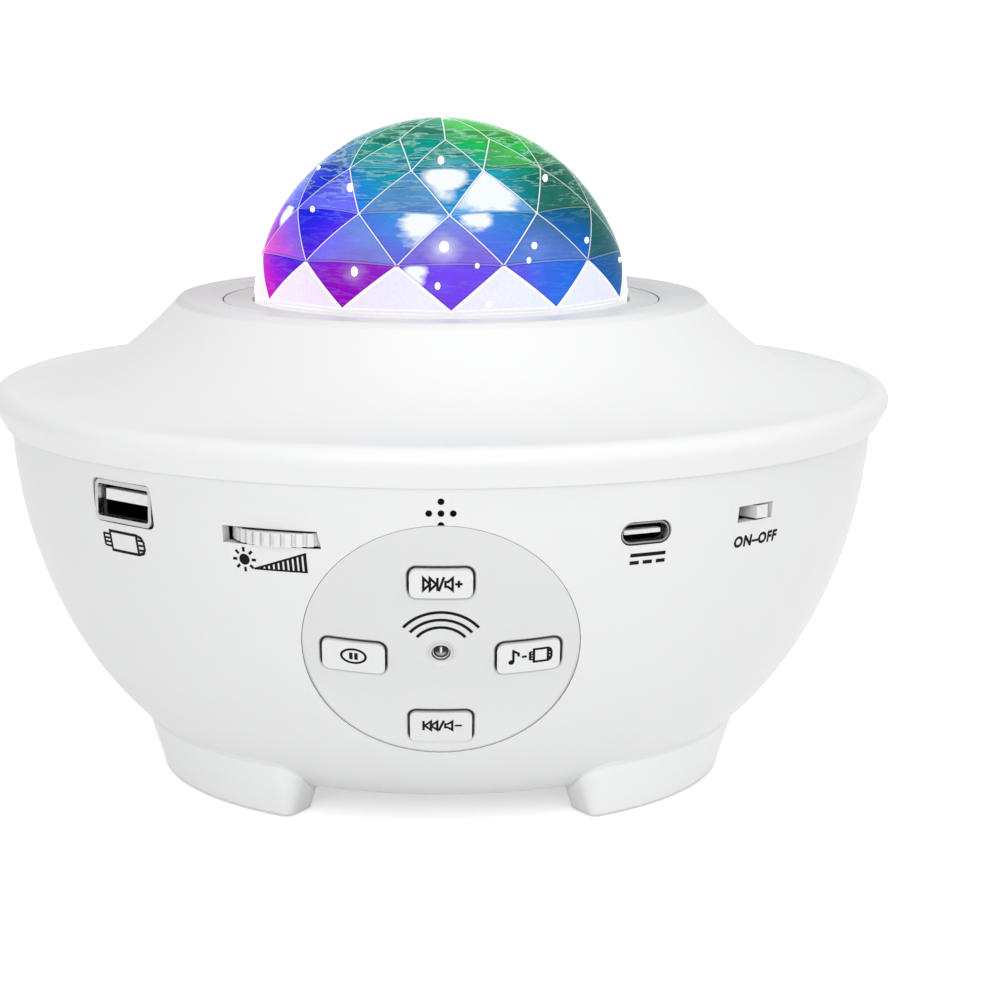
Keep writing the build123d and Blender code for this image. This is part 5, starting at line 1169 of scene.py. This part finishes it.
class PROJECTOR_OT_stage(bpy.types.Operator):
    """Makes the pale floor, the soft studio light and the camera"""
    bl_idname = "projector.stage"
    bl_label = "Stage"

    def execute(self, context):
        scene = context.scene
        size = sizes()
        scene.view_settings.view_transform = "Standard"

        f = Finish("studio", "worlds", "OutputWorld")
        scene.world = f.material
        light, white = [
            f.add("Background", {"Color": WHITE, "Strength": strength}).outputs[0]
            for strength in (ROOM_LIGHT, 1.0)]
        mix = f.add("MixShader")
        for socket, start in enumerate((f.seen_rays(), light, white)):
            f.join(start, mix.inputs[socket])
        f.join(mix.outputs[0], f.output.inputs["Surface"])

        bm = bmesh.new()
        bmesh.ops.create_grid(bm, x_segments=8, y_segments=8, size=2.5)
        mesh = bpy.data.meshes.new("floor")
        bm.to_mesh(mesh)
        bm.free()
        floor = bpy.data.objects.new("floor", mesh)
        scene.collection.objects.link(floor)
        mesh.materials.append(floor_paper())

        for lamp in SOFTBOXES:
            softbox(*lamp)

        lens = bpy.data.cameras.new("camera")
        lens.lens = 99.1
        lens.sensor_width = 36.0
        lens.shift_x = 0.059
        lens.clip_start, lens.clip_end = 0.02, 20
        camera = bpy.data.objects.new("camera", lens)
        scene.collection.objects.link(camera)
        camera.location = (0, -size.lens_distance, size.lens_height)
        camera.rotation_euler = (pi / 2 - size.lens_tilt, 0, 0)
        scene.camera = camera
        return {"FINISHED"}


STEPS = (
    PROJECTOR_OT_stage,
    PROJECTOR_OT_mouldings,
    PROJECTOR_OT_controls,
    PROJECTOR_OT_ports,
    PROJECTOR_OT_screws,
    PROJECTOR_OT_boards,
    PROJECTOR_OT_dome,
    PROJECTOR_OT_star_spots,
    PROJECTOR_OT_key_symbols,
    PROJECTOR_OT_side_symbols,
)


class PROJECTOR_PT_panel(bpy.types.Panel):
    """Lists the sizes, the colours and one button for each group of pieces"""
    bl_idname = "PROJECTOR_PT_panel"
    bl_label = "Star projector"
    bl_space_type = "VIEW_3D"
    bl_region_type = "UI"
    bl_category = "Projector"

    def draw(self, context):
        column = self.layout.column()
        for group in (context.scene.projector_sizes, context.scene.projector_colours):
            for name in group.__annotations__:
                column.prop(group, name)
        for step in STEPS:
            column.operator(step.bl_idname)


CLASSES = (ProjectorSizes, ProjectorColours, *STEPS, PROJECTOR_PT_panel)


def register():
    for each in CLASSES:
        bpy.utils.register_class(each)
    bpy.types.Scene.projector_sizes = bpy.props.PointerProperty(type=ProjectorSizes)
    bpy.types.Scene.projector_colours = bpy.props.PointerProperty(type=ProjectorColours)


def unregister():
    del bpy.types.Scene.projector_colours
    del bpy.types.Scene.projector_sizes
    for each in reversed(CLASSES):
        bpy.utils.unregister_class(each)


def main():
    register()
    for step in STEPS:
        group, name = step.bl_idname.split(".")
        getattr(getattr(bpy.ops, group), name)()


if __name__ == "__main__":
    main()
